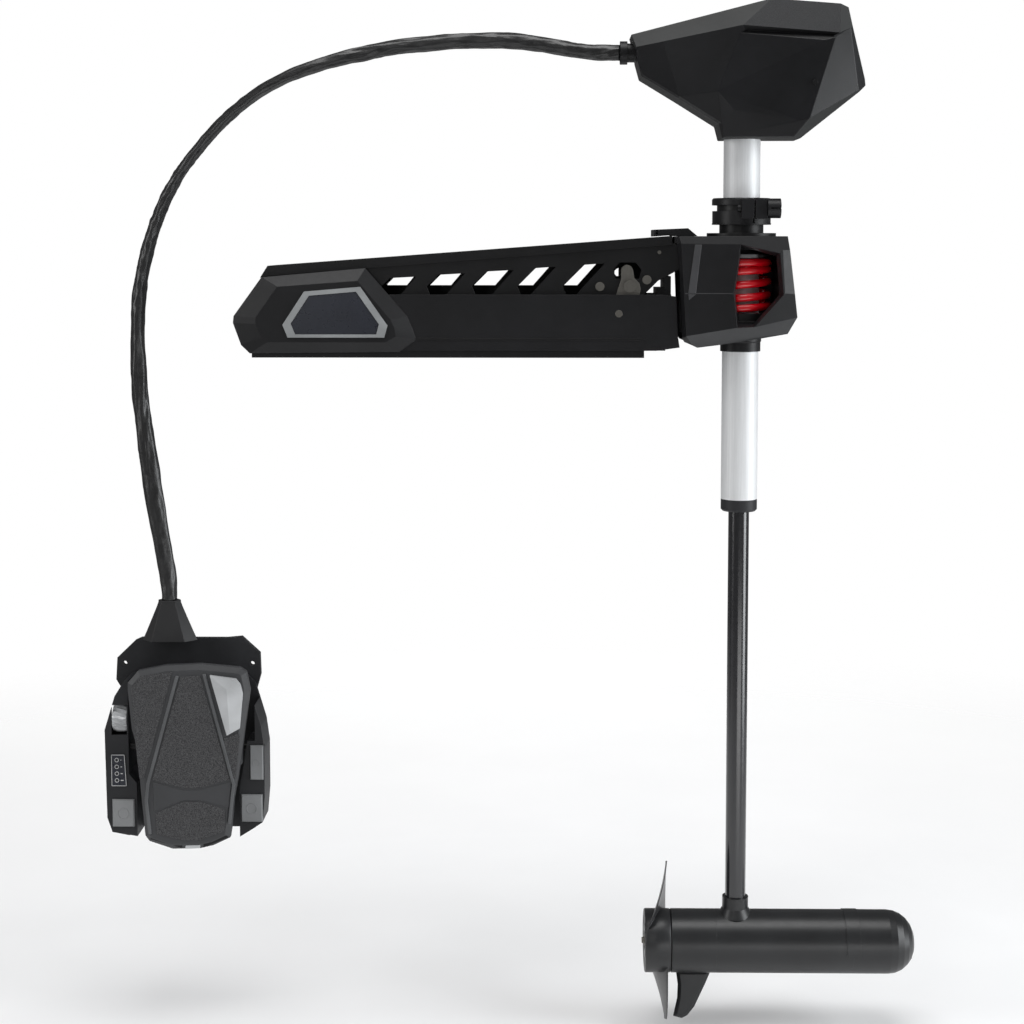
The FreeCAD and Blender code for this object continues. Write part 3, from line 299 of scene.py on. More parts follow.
def inset(outline, distance):
    """Move every side of a convex outline inward by a distance."""
    count = len(outline)
    area = sum(outline[i][0] * outline[(i + 1) % count][1] - outline[(i + 1) % count][0] * outline[i][1]
               for i in range(count))
    turn = 1 if area > 0 else -1
    lines = []
    for i in range(count):
        a = Vector(outline[i])
        b = Vector(outline[(i + 1) % count])
        along = (b - a).normalized()
        lines.append((a + Vector((-along.y, along.x)) * distance * turn, along))
    moved = []
    for i in range(count):
        p, u = lines[i - 1]
        q, v = lines[i]
        cross = u.x * v.y - u.y * v.x
        if abs(cross) < 1e-4:
            moved.append(tuple(q))
        else:
            share = ((q - p).x * v.y - (q - p).y * v.x) / cross
            moved.append(tuple(p + u * share))
    return moved


def lathe(name, profile, centre, axis, mat, steps=96):
    """Turn (radius, distance along the axis) points; axis is 'X', 'Y' or 'Z'."""
    points, faces = [], []
    for step in range(steps):
        angle = 2 * math.pi * step / steps
        c, s = math.cos(angle), math.sin(angle)
        for radius, along in profile:
            spot = {"X": (along, radius * c, radius * s), "Y": (radius * c, along, radius * s),
                    "Z": (radius * c, radius * s, along)}[axis]
            points.append(tuple(a + b for a, b in zip(spot, centre)))
    count = len(profile)
    for step in range(steps):
        near, far = step * count, (step + 1) % steps * count
        for i in range(count - 1):
            faces.append((near + i, near + i + 1, far + i + 1, far + i))
    piece = mesh_from(name, points, faces, mat)
    weld(piece)
    return smooth(piece)


def tube_faces(rings, around):
    """Quads between successive rings of points, with both ends closed."""
    faces = []
    for index in range(rings - 1):
        for turn in range(around):
            a, b = index * around + turn, index * around + (turn + 1) % around
            faces.append((a, b, b + around, a + around))
    faces.append(tuple(range(around - 1, -1, -1)))
    faces.append(tuple(range((rings - 1) * around, rings * around)))
    return faces


def weld(piece, distance=1e-6):
    tool = bmesh.new()
    tool.from_mesh(piece.data)
    bmesh.ops.remove_doubles(tool, verts=tool.verts, dist=distance)
    bmesh.ops.recalc_face_normals(tool, faces=tool.faces)
    tool.to_mesh(piece.data)
    tool.free()


def joined(name, parts):
    """Several meshes as one, with their modifiers applied."""
    bpy.context.view_layer.update()
    graph = bpy.context.evaluated_depsgraph_get()
    mesh = bpy.data.meshes.new(name)
    tool = bmesh.new()
    mats = []
    for part in parts:
        final = bpy.data.meshes.new_from_object(part.evaluated_get(graph))
        final.transform(part.matrix_world)
        shift = {}
        for index, mat in enumerate(final.materials):
            if mat not in mats:
                mats.append(mat)
            shift[index] = mats.index(mat)
        start = len(tool.faces)
        tool.from_mesh(final)
        tool.faces.ensure_lookup_table()
        for face in tool.faces[start:]:
            face.material_index = shift.get(face.material_index, 0)
        bpy.data.meshes.remove(final)
    tool.to_mesh(mesh)
    tool.free()
    for mat in mats:
        mesh.materials.append(mat)
    for part in parts:
        bpy.data.objects.remove(part)
    return link(name, mesh, None)


def stand_in(piece, body, slot, *nodes):
    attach(piece, body)
    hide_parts(*nodes)
    return piece


def add_on(piece, body):
    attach(piece, body)
    return piece


# ---------------------------------------------------------------- camera
camera = bpy.data.objects.new("camera", bpy.data.cameras.new("camera"))
bpy.context.scene.collection.objects.link(camera)
camera.location = (0.1308, -2.70, 0.160)
camera.rotation_euler = (math.radians(90 - 4.476), 0, math.radians(0.899))
camera.data.lens = 67.757
camera.data.sensor_width = 36.0
camera.data.shift_y = -0.117
camera.data.clip_end = 60
bpy.context.scene.camera = camera


# ---------------------------------------------------------------- control cable
CABLE_ROUTE = [
    (238, 0, 420), (197, 0, 420), (151, 0, 428), (104, 0, 436), (52, 0, 438), (0, 0, 436), (-52, 0, 431.5),
    (-105, 0, 423), (-157, 0, 411), (-207, 0, 396), (-254, 0, 374), (-296, 0, 344), (-332, 0, 309),
    (-364, 2, 272), (-391, 4, 232), (-411, 6, 188), (-426, 8, 143), (-436, 10, 96), (-440.5, 12, 48),
    (-441.5, 14, 0), (-439.5, 16, -50), (-435, 18, -100), (-429.5, 20, -150), (-423, 22, -198),
    (-416.5, 24, -244), (-410, 26, -288), (-404, 28, -324), (-404, 28, -353),
]
# (share of the length, half width seen from the side, half width seen from the front), mm
SLEEVE = [
    (0.00, 11.0, 11.0), (0.05, 10.5, 11.5), (0.14, 11.0, 11.0), (0.26, 10.5, 11.5), (0.34, 8.6, 13.0),
    (0.42, 7.6, 13.6), (0.50, 7.8, 13.4), (0.56, 8.6, 13.0), (0.62, 9.0, 12.6), (0.69, 9.8, 12.0),
    (0.76, 11.2, 11.0), (0.83, 13.0, 10.0), (0.88, 13.6, 9.4), (0.93, 13.2, 9.6), (0.97, 12.2, 10.2),
    (1.00, 11.0, 10.5),
]


def spline_points(route, order=3, resolution=24):
    curve = bpy.data.curves.new("route", "CURVE")
    curve.dimensions = "3D"
    line = curve.splines.new("NURBS")
    line.points.add(len(route) - 1)
    for point, spot in zip(line.points, route):
        point.co = (*[MM * c for c in spot], 1)
    line.order_u = order
    line.use_endpoint_u = True
    line.resolution_u = resolution
    holder = bpy.data.objects.new("route", curve)
    bpy.context.scene.collection.objects.link(holder)
    bpy.context.view_layer.update()
    mesh = bpy.data.meshes.new_from_object(holder.evaluated_get(bpy.context.evaluated_depsgraph_get()))
    points = [v.co.copy() for v in mesh.vertices]
    bpy.data.objects.remove(holder)
    bpy.data.meshes.remove(mesh)
    return points


def between(table, share):
    for low, high in zip(table, table[1:]):
        if share <= high[0]:
            part = (share - low[0]) / max(high[0] - low[0], 1e-9)
            part = part * part * (3 - 2 * part)
            return [a + (b - a) * part for a, b in zip(low[1:], high[1:])]
    return list(table[-1][1:])


def sleeve_radius(share, angle, travelled):
    """Wrinkled oval: a few folds wind slowly round the bundle, broken up by noise."""
    wide, deep = between(SLEEVE, share)
    oval = 1 / math.sqrt((math.cos(angle) / wide) ** 2 + (math.sin(angle) / deep) ** 2)
    lay = 2.4 * math.sin(travelled * 9.0) + 14 * share
    fold = noise.noise(Vector((2.1 * math.cos(angle + lay), 2.1 * math.sin(angle + lay), travelled * 17)))
    pucker = noise.noise(Vector((3.6 * math.cos(angle), 3.6 * math.sin(angle), travelled * 60 + 7)))
    ridge = 1 - abs(noise.noise(Vector((1.4 * math.cos(angle - lay), 1.4 * math.sin(angle - lay),
                                        travelled * 26 + 31)))) * 2
    loose = 0.55 + 0.45 * min(1.0, 4 * share, 6 * (1 - share))
    return oval + loose * (1.5 * fold + 0.5 * pucker + 0.9 * ridge - 0.7)


def make_cable():
    line = spline_points(CABLE_ROUTE)
    steps, around = len(line), 40
    points = []
    travelled = 0.0
    total = sum((b - a).length for a, b in zip(line, line[1:]))
    for index, spot in enumerate(line):
        ahead = line[min(index + 1, steps - 1)] - line[max(index - 1, 0)]
        ahead.normalize()
        side = Vector((0, 1, 0)).cross(ahead).normalized()
        deep = ahead.cross(side)
        if index:
            travelled += (spot - line[index - 1]).length
        for turn in range(around):
            angle = 2 * math.pi * turn / around
            radius = MM * sleeve_radius(travelled / total, angle, travelled)
            points.append(spot + side * radius * math.cos(angle) + deep * radius * math.sin(angle))
    faces = tube_faces(steps, around)
    sleeve = smooth(mesh_from("cable_sleeve", points, faces, MATERIALS["vinyl_sleeve"], 1))
    stand_in(sleeve, "column", "vinyl_sleeve", "control_cable")


make_cable()


# ---------------------------------------------------------------- floor, lights and surroundings
def make_floor():
    bpy.ops.mesh.primitive_circle_add(vertices=96, radius=14, fill_type="NGON", location=(0.1, 0, FLOOR_Z))
    floor = bpy.context.object
    floor.name = "floor"
    mat, tree, shader, where = node_material("pale_floor")
    cloud = add_noise(tree, where, 3, 3)
    shade = add_ramp(tree, cloud, [(0.3, (0.9, 0.9, 0.905)), (0.7, (0.93, 0.93, 0.935))])
    tree.links.new(shade, shader.inputs["Base Color"])
    shader.inputs["Roughness"].default_value = 0.9
    length = tree.nodes.new("ShaderNodeVectorMath")
    length.operation = "LENGTH"
    tree.links.new(where, length.inputs[0])
    fade = tree.nodes.new("ShaderNodeMapRange")
    fade.inputs["From Min"].default_value = 0.9
    fade.inputs["From Max"].default_value = 2.6
    fade.inputs["To Min"].default_value = 1.0
    fade.inputs["To Max"].default_value = 0.0
    tree.links.new(length.outputs["Value"], fade.inputs["Value"])
    tree.links.new(fade.outputs["Result"], shader.inputs["Alpha"])
    floor.data.materials.append(mat)


def area_light(name, place, target, size, power, colour=(1, 1, 1)):
    lamp = bpy.data.lights.new(name, "AREA")
    lamp.shape = "RECTANGLE"
    lamp.size, lamp.size_y = size
    lamp.energy = power
    lamp.color = colour
    holder = bpy.data.objects.new(name, lamp)
    holder.location = place
    holder.rotation_euler = (Vector(target) - Vector(place)).to_track_quat("-Z", "Y").to_euler()
    bpy.context.scene.collection.objects.link(holder)
    return holder


def make_lighting():
    world = bpy.data.worlds.new("studio")
    bpy.context.scene.world = world
    world.use_nodes = True
    tree = world.node_tree
    light = tree.nodes["Background"]
    light.inputs["Color"].default_value = (1, 1, 1, 1)
    light.inputs["Strength"].default_value = 0.15
    seen = tree.nodes.new("ShaderNodeBackground")
    seen.inputs["Color"].default_value = (1, 1, 1, 1)
    seen.inputs["Strength"].default_value = 1.0
    path = tree.nodes.new("ShaderNodeLightPath")
    mix = tree.nodes.new("ShaderNodeMixShader")
    tree.links.new(path.outputs["Is Camera Ray"], mix.inputs["Fac"])
    tree.links.new(light.outputs["Background"], mix.inputs[1])
    tree.links.new(seen.outputs["Background"], mix.inputs[2])
    tree.links.new(mix.outputs["Shader"], tree.nodes["World Output"].inputs["Surface"])
    area_light("right_softbox", (3.2, -0.9, 0.3), (0.2, 0, -0.1), (1.6, 3.2), 95, (0.95, 0.98, 1.0))
    area_light("left_softbox", (-2.8, -1.3, 0.6), (0, 0, 0), (1.0, 2.6), 34)
    area_light("top_softbox", (0.2, -0.6, 2.6), (0.1, 0, 0), (2.6, 1.6), 62)
    back = area_light("back_softbox", (0.0, 3.2, 0.8), (0.1, 0, 0), (2.6, 2.2), 60)
    back.visible_glossy = False
    area_light("front_fill", (-0.9, -3.6, 0.9), (0.1, 0, -0.2), (0.7, 2.2), 9)
    area_light("low_bounce", (0.9, -1.5, -0.93), (0.42, 0, -0.84), (1.2, 0.5), 5)


make_floor()
make_lighting()
scene_view = bpy.context.scene.view_settings
scene_view.view_transform = "Standard"


# ---------------------------------------------------------------- breakaway spring
def make_spring():
    low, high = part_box("breakaway_spring")
    cx = (low.x + high.x) / 2 / MM
    front_levels = [66.2, 67.9, 82.5, 100.7, 119.3, 130.6, 131.8]
    stations = [0, 0.5, 1.5, 2.5, 3.5, 4.5, 5]
    path = []
    per_turn = 48
    for step in range(COIL_TURNS * per_turn + 1):
        share = step / per_turn
        index = max(i for i in range(len(stations) - 1) if stations[i] <= share)
        part = (share - stations[index]) / (stations[index + 1] - stations[index])
        level = front_levels[index] + (front_levels[index + 1] - front_levels[index]) * part
        angle = 2 * math.pi * share + math.pi / 2
        path.append(Vector((cx + COIL_RADIUS * math.cos(angle), COIL_RADIUS * math.sin(angle), level)))
    around = 20
    points = []
    for index, spot in enumerate(path):
        ahead = (path[min(index + 1, len(path) - 1)] - path[max(index - 1, 0)]).normalized()
        outward = Vector((spot.x - cx, spot.y, 0)).normalized()
        up = outward.cross(ahead).normalized()
        outward = ahead.cross(up).normalized()
        for turn in range(around):
            angle = 2 * math.pi * turn / around
            points.append(spot + (outward * math.cos(angle) + up * math.sin(angle)) * WIRE_RADIUS)
    coil = smooth(mesh_from("spring_coil", points, tube_faces(len(path), around), MATERIALS["red_spring"]))
    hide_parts("breakaway_spring")
    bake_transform(coil)


make_spring()


# ---------------------------------------------------------------- motor head
HEAD_POINTS = {
    # silhouette, from the top left round by the right
    "s1": (252, -31, 442), "s2": (444, -30, 491), "s3": (538, -28, 484), "s4": (549, -27, 479),
    "s5": (555, -30, 451), "s6": (573, -24, 382), "s7": (574, -24, 373), "s8": (566, -24, 365),
    "s9": (484, -34, 300.5), "s10": (377, -36, 300.5), "s11": (372, -38, 320), "s12": (316, -40, 355),
    "s13": (266, -38, 385), "s14": (260, -40, 407), "s15": (258, -45, 424),
    # facet corners on the flank
    "a": (402, -58, 452), "b": (294, -52, 430.5), "c": (534, -55, 442), "d": (527, -57, 435),
    "ai": (406, -50, 446), "ci": (526, -50, 438), "a1": (399, -54, 442), "d1": (513, -60, 431.5),
    "g": (368, -62, 363), "h": (390, -53, 339), "e1": (481, -51, 324), "e": (494, -53, 327),
    "f": (550, -41, 450), "f2": (563, -33, 366), "k9": (474, -45, 302.5), "k10": (378.5, -44, 302.5),
    "k11": (375, -46, 321.5), "k12": (317.5, -45, 357.5), "k13": (268.5, -41, 387.5),
    "m": (289, -31, 451.4), "n": (291.8, -51.6, 430),
}
HEAD_TOP_FACES = [
    ("strip", "s1 m n s15"), ("strip", "m s2 a b n"), ("grain", "s2 s3 c a"), ("strip", "s3 s4 s5 f c"),
]
HEAD_LOW_FACES = [
    ("groove", "a c ci ai"), ("groove", "ai ci d d1 a1"), ("body", "c f d ci"), ("body", "a1 d1 g"),
    ("body", "d1 e1 h g"), ("body", "d1 d e e1"), ("body", "d f f2 e"), ("body", "f s5 s6 s7 f2"),
    ("strip", "e f2 s7 s8 s9 k9"), ("body", "h e1 e k9 k10"), ("body", "g h k10 k11"),
    ("body", "g k11 k12"), ("body", "b a ai a1 g k12"), ("body", "s15 n b k12 k13 s14"),
    ("body", "k13 k12 s12 s13 s14"), ("strip", "k12 k11 s11 s12"), ("body", "k11 k10 s10 s11"),
    ("strip", "k10 k9 s9 s10"),
]


def faceted(name, points, faces, mats, bridges, bevel):
    """A shell with the same facets on both sides, closed across the centre by bridges between them."""
    order = list(points)
    index = {key: i for i, key in enumerate(order)}
    count = len(order)
    spots = [points[key] for key in order] + [(points[k][0], -points[k][1], points[k][2]) for k in order]
    rings, kinds = [], []
    for kind, keys in faces:
        ring = [index[key] for key in keys.split()]
        rings += [tuple(ring), tuple(count + i for i in reversed(ring))]
        kinds += [kind, kind]
    for kind, keys in bridges:
        run = keys.split()
        for a, b in zip(run, run[1:]):
            rings.append((index[a], index[b], count + index[b], count + index[a]))
            kinds.append(kind)
    mesh = bpy.data.meshes.new(name)
    mesh.from_pydata([tuple(MM * c for c in p) for p in spots], [], rings)
    names = list(mats)
    for key in names:
        mesh.materials.append(mats[key])
    for polygon, kind in zip(mesh.polygons, kinds):
        polygon.material_index = names.index(kind)
    tool = bmesh.new()
    tool.from_mesh(mesh)
    bmesh.ops.delete(tool, geom=[v for v in tool.verts if not v.link_faces], context="VERTS")
    bmesh.ops.recalc_face_normals(tool, faces=tool.faces)
    tool.to_mesh(mesh)
    tool.free()
    piece = link(name, mesh, None)
    return soften(piece, bevel, 2, 8)


def make_head():
    # Faces marked strip take the painted highlight grey: edge chamfers painted lighter as if lit.
    looks = {"body": HEAD_BLACK, "strip": PAINTED_HIGHLIGHT_GREY, "grain": GRAINED_TOP,
             "groove": MATERIALS["black_coated_metal"]}
    top = faceted("head_cover_shell", HEAD_POINTS, HEAD_TOP_FACES, looks,
                  [("strip", "s15 s1 m s2"), ("grain", "s2 s3"), ("strip", "s3 s4 s5")], 0.7)
    stand_in(top, "column", "charcoal_plastic", "head_top_cover")
    low_bridges = [("body", "s5 s6 s7"), ("strip", "s7 s8 s9 s10 s11 s12 s13"), ("body", "s13 s14 s15")]
    low = faceted("head_housing_shell", HEAD_POINTS, HEAD_LOW_FACES, looks, low_bridges, 0.8)
    stand_in(low, "column", "black_plastic", "head_lower_housing")


make_head()


# ---------------------------------------------------------------- side covers of the spring mount
COVER_POINTS = {
    "t1": (318, -55, 167), "t2": (466, -55, 167), "t3": (469.7, -52, 148), "r1": (459, -60, 148),
    "c1": (312, -50, 165), "c15": (315.5, -50, 156), "c14": (318.3, -50, 135), "c13": (322.5, -50, 27.6),
    "c12": (326, -50, 22), "c11": (336.6, -50, 17.5), "c10": (344, -50, 14), "c9": (372, -50, 17.5),
    "c8": (427, -50, 26), "c7": (468, -49, 33), "c6": (481, -50, 56), "c5": (477.3, -50, 88),
    "r2": (462.5, -60, 89.3), "t4": (320.5, -62, 156.5), "l1": (328, -62, 30.5),
    "w1": (401, -62, 155.5), "w2": (398.5, -62, 129), "w3": (392.6, -62, 91.4), "w4": (397.5, -62, 42),
    "w5": (421, -62, 43), "w6": (460.5, -61, 87), "w7": (455, -61, 143.5),
    "i1": (403, -50, 153), "i2": (401, -50, 129), "i3": (395.5, -50, 91.4), "i4": (400, -50, 47.5),
    "i5": (420.4, -50, 47), "i6": (456.3, -50, 87), "i7": (451.1, -50, 139.5),
    "b1": (318, -48.6, 167), "b2": (466, -48.6, 167), "b3": (469.7, -48.6, 148), "b5": (477.3, -48.6, 88),
    "b6": (481, -48.6, 56), "b7": (468, -48.6, 33), "b8": (427, -48.6, 26), "b9": (372, -48.6, 17.5),
    "b10": (344, -48.6, 14), "b11": (336.6, -48.6, 17.5), "b12": (326, -48.6, 22),
}
COVER_FACES = [
    ("body", "c1 t1 t4 c15"), ("body", "t1 t2 t3 r1 w7 w1 t4"), ("body", "t4 w1 w2 w3 w4 l1"),
    ("body", "c15 t4 l1 c13 c14"), ("body", "l1 c11 c12 c13"), ("body", "r1 t3 c5 r2"),
    ("body", "w7 r1 r2 w6"), ("body", "w6 r2 c5 c6 w5"), ("low", "l1 w4 w5 c6 c7 c8 c9 c10 c11"),
    ("body", "w1 i1 i2 w2"), ("body", "w2 i2 i3 w3"), ("body", "w3 i3 i4 w4"), ("body", "w4 i4 i5 w5"),
    ("body", "w5 i5 i6 w6"), ("body", "w6 i6 i7 w7"), ("body", "w7 i7 i1 w1"),
    ("body", "t1 b1 b2 t2"), ("body", "t2 b2 b3 t3"), ("body", "t3 b3 b5 c5"), ("body", "c5 b5 b6 c6"),
    ("low", "c6 b6 b7 c7"), ("low", "c7 b7 b8 c8"), ("low", "c8 b8 b9 c9"), ("low", "c9 b9 b10 c10"),
    ("low", "c10 b10 b11 c11"), ("body", "c11 b11 b12 c12"),
]
COVER_RIB = [(339, 155.4), (348, 155.4), (340.6, 89.4), (330.2, 89.4)]
COVER_RIB_FOOT = [(330.2, 87.8), (340.6, 87.8), (331.2, 80)]
COVER_SEAM = [(326.2, 89.3), (326.2, 88.4), (391.8, 88.4), (391.8, 89.3)]


def one_side(piece, near):
    """Keep only the near (-Y) or far (+Y) half of a two-sided shell."""
    tool = bmesh.new()
    tool.from_mesh(piece.data)
    away = [v for v in tool.verts if (v.co.y > 0) == near]
    bmesh.ops.delete(tool, geom=away, context="VERTS")
    tool.to_mesh(piece.data)
    tool.free()


def make_side_covers():
    # Faces marked low take the painted bounce-light colour: the lower facets painted lighter as if lit from
    # the floor.
    looks = {"body": MATERIALS["black_plastic"], "low": PAINTED_BOUNCE_LIGHT_FACET}
    for side, label in ((-1, "near"), (1, "far")):
        shell = faceted("cover_shell_" + label, COVER_POINTS, COVER_FACES, looks, [], 0.6)
        one_side(shell, side < 0)
        rib = soften(side_block("rib", COVER_RIB, side * 61.8, side * 62.9, RIB_GREY), 0.35)
        foot = soften(side_block("foot", COVER_RIB_FOOT, side * 61.8, side * 62.7, RIB_GREY), 0.3)
        seam = side_block("seam", COVER_SEAM, side * 61.9, side * 62.08, RIB_GREY)
        whole = joined("side_cover_skin_" + label, [shell, rib, foot, seam])
        stand_in(whole, "mount", "black_plastic", "side_cover_" + label)


make_side_covers()


# ---------------------------------------------------------------- propeller and skeg
MOTOR_AXIS = sum(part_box("rear_end_cap"), Vector()).z / 2 / MM
HUB_RADIUS = 44.5
PROP_RADIUS = 116.0


def blade_surface(sign, rows=26, columns=18):
    """A wide twisted blade: front edge square to the axis, rear edge swept to the tip."""
    points, faces = [], []
    for face_side in (-1, 1):
        for i in range(rows):
            share = i / (rows - 1)
            radius = (HUB_RADIUS - 3) + (PROP_RADIUS - HUB_RADIUS + 3) * share
            chord = 39 * (1 - share ** 3.2) ** 0.62 + 1.2
            reach = 14.3 * (1 - share) ** 1.3 + 1.0
            middle = 310.3 - reach
            for j in range(columns):
                u = -1 + 2 * j / (columns - 1)
                swing = u * chord / radius
                thick = (2.6 - 1.7 * share) * math.sqrt(max(0.0, 1 - u * u)) + 0.25
                lean = -reach * (u - 0.18 * (1 - u * u) * (1 - share))
                x = middle + lean + face_side * thick * 0.8
                y = -radius * math.sin(swing) * sign
                z = MOTOR_AXIS + radius * math.cos(swing) * sign
                points.append((x, y, z))
    sheet = rows * columns
    for side in (0, 1):
        for i in range(rows - 1):
            for j in range(columns - 1):
                a = side * sheet + i * columns + j
                faces.append((a, a + 1, a + columns + 1, a + columns))
    rim = ([j for j in range(columns)] + [i * columns + columns - 1 for i in range(1, rows)]
           + [(rows - 1) * columns + j for j in range(columns - 2, -1, -1)]
           + [i * columns for i in range(rows - 2, 0, -1)])
    for a, b in zip(rim, rim[1:] + rim[:1]):
        faces.append((a, b, b + sheet, a + sheet))
    return points, faces


def make_propeller():
    paint = MATERIALS["motor_paint"]
    hub_profile = [(8, 281), (30, 281), (38, 279.6), (41.5, 278.2), (43.4, 278.2), (44.5, 279.6),
                   (44.5, 313.6), (43.8, 314.5), (30, 314.5)]
    hub = lathe("hub", hub_profile, (0, 0, MOTOR_AXIS), "X", paint)
    parts = [hub]
    for sign in (1, -1):
        points, faces = blade_surface(sign)
        parts.append(smooth(mesh_from("blade", points, faces, BLADE)))
    ring_profile = [(14, 279.0), (15, 278.4), (24, 278.4), (25, 279.4), (25, 282), (14, 282)]
    parts.append(lathe("rear_face_ring", ring_profile, (0, 0, MOTOR_AXIS), "X", paint))
    whole = joined("twin_blade_propeller", parts)
    stand_in(whole, "rotor", "black_plastic", "propeller")


SKEG_OUTLINE = [(323.5, -884), (326.2, -905), (325.5, -925), (319.8, -952), (333, -955.5), (341, -951),
                (351, -938), (366, -905), (374.5, -884)]


def make_skeg():
    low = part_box("skeg")[0]
    outline = [(x, max(z, low.z / MM)) for x, z in SKEG_OUTLINE]
    core = inset(outline, 5.5)
    parts = [side_block("fin", outline, 0, side * 3.4, MATERIALS["motor_paint"], core) for side in (-1, 1)]
    fin = joined("skeg_fin", [soften(part, 0.8, 3, 10) for part in parts])
    stand_in(fin, "steering", "motor_paint", "skeg")


make_propeller()
make_skeg()


# ---------------------------------------------------------------- foot pedal
PAD_OUTLINE = [
    (-453, -460), (-438, -443), (-398, -435), (-350, -433), (-294, -438), (-285, -444), (-280, -470),
    (-290.5, -545), (-298, -596), (-304, -625), (-307.5, -664), (-310, -682), (-334, -693.5),
    (-353, -698), (-392, -699), (-425, -688), (-431, -680), (-436.5, -616), (-441, -552),
    (-448, -527), (-453, -473),
]
PAD_RIDGES = [
    [(-384, -449), (-379.5, -449), (-423, -604), (-425.5, -628), (-421, -676), (-425.5, -676), (-430, -628),
     (-427.5, -604)],
    [(-346, -446), (-341.5, -446), (-301.5, -604), (-308, -660), (-312.5, -660), (-306, -604)],
]
PAD_PANELS = [
    [(-377, -450), (-349, -448), (-309, -597), (-350, -609), (-375, -610), (-419, -598)],
    [(-415, -646), (-375, -629), (-351, -629), (-316, -640), (-317, -671), (-352, -685), (-375, -685),
     (-414, -676)],
    [(-447, -468), (-434, -449), (-388, -442.5), (-430, -594), (-437, -596), (-443, -534)],
    [(-318, -538), (-297, -530), (-294, -534), (-301, -596), (-305, -596)],
]
KEY_OUTLINE = [(-337, -446), (-298, -451), (-291, -460), (-288, -474), (-293, -524), (-313, -535)]


def plate_with_edges(name, outline, back, front, chamfer, mat):
    """A plate facing -Y whose front edge slopes in by the chamfer."""
    step = chamfer * 0.7
    body = side_block(name, outline, back, front + step, mat)
    face = side_block(name + "_face", outline, front + step, front, mat, inset(outline, chamfer))
    return [soften(body, 0.4), soften(face, 0.5, 2, 12)]


def make_pad():
    parts = plate_with_edges("plate", PAD_OUTLINE, -24, -38.2, 7.5, PAD_PLASTIC)
    for ridge in PAD_RIDGES:
        parts.append(soften(side_block("ridge", ridge, -37.5, -40.4, RIDGE_GREY), 0.7, 2))
    lug = [(-436, -540), (-294, -540), (-294, -580), (-436, -580)]
    parts.append(soften(side_block("lug", lug, -24, -5, PAD_PLASTIC), 1.5))
    band = [(-418, -601), (-375, -613), (-350, -612), (-307, -600), (-311, -637), (-351, -627),
            (-375, -627), (-417, -643)]
    parts.append(soften(side_block("band", band, -37.8, -38.9, PAD_PLASTIC), 0.4))
    tip = [(-373, -690), (-352, -689), (-353, -697), (-374, -698)]
    parts.append(soften(side_block("tip", tip, -30, -36.8, PALE_FACET), 0.8))
    for corner in ([(-424, -684), (-378, -697), (-378, -690.5), (-416, -679)],
                   [(-312, -681), (-317, -676), (-348, -688.5), (-348, -696)]):
        parts.append(soften(side_block("corner", corner, -32, -37.2, MATERIALS["black_plastic"]), 0.6))
    stand_in(joined("pad_body", parts), "pad", "charcoal_plastic", "foot_pad")
    panels = [soften(side_block("grit", outline, -37.6, -39.3, PAD_GRIT), 0.5) for outline in PAD_PANELS]
    stand_in(joined("pad_grit_panels", panels), "pad", "grip_rubber", "pad_grips")


def make_momentary_key():
    rim = inset(KEY_OUTLINE, 1.0)
    points = [(x, -36, z) for x, z in rim] + [(x, -43.2, z) for x, z in inset(KEY_OUTLINE, 1.4)]
    count = len(rim)
    points += [(-311, -46.0, -467), (-307.5, -46.0, -526)]
    crest, foot = 2 * count, 2 * count + 1
    top = list(range(count, 2 * count))
    faces = [tuple(reversed(range(count)))]
    faces += [(i, (i + 1) % count, count + (i + 1) % count, count + i) for i in range(count)]
    faces += [(top[0], top[1], crest), (top[1], top[2], crest), (top[2], top[3], crest),
              (top[3], top[4], foot, crest), (top[4], top[5], foot), (top[5], top[0], crest, foot)]
    key = soften(mesh_from("faceted_key", points, faces, PALE_FACET), 0.35, 2, 5)
    stand_in(key, "momentary", "light_grey_plastic", "momentary_button")


def make_wheel():
    """Speed wheel with raised diamonds round its rim."""
    low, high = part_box("speed_wheel")
    centre = (low + high) / 2 / MM
    width = (high.x - low.x) / MM
    rim = (high.z - low.z) / 2 / MM
    around, across = 36, 5
    points, faces = [], []
    for row in range(across):
        x = centre.x - width / 2 + width * row / (across - 1)
        for step in range(around):
            angle = 2 * math.pi * (step + 0.5 * (row % 2)) / around
            edge = row in (0, across - 1)
            radius = rim * (0.9 if edge else (1.0 if (step + row // 2) % 2 == 0 else 0.88))
            points.append((x, centre.y + radius * math.cos(angle), centre.z + radius * math.sin(angle)))
    for row in range(across - 1):
        for step in range(around):
            a, b = row * around + step, row * around + (step + 1) % around
            if row % 2 == 0:
                faces += [(a, b, a + around), (b, b + around, a + around)]
            else:
                faces += [(a, b, b + around), (a, b + around, a + around)]
    for row in (0, across - 1):
        start = len(points)
        x = points[row * around][0]
        for radius in (9.0, 3.2):
            for step in range(around):
                angle = 2 * math.pi * step / around
                points.append((x, centre.y + radius * math.cos(angle), centre.z + radius * math.sin(angle)))
        for ring_a, ring_b in ((row * around, start), (start, start + around)):
            for step in range(around):
                following = (step + 1) % around
                faces.append((ring_a + step, ring_a + following, ring_b + following, ring_b + step))
    wheel = mesh_from("knurled_wheel", points, faces, WHEEL_SILVER)
    stand_in(wheel, "wheel", "light_grey_plastic", "speed_wheel")


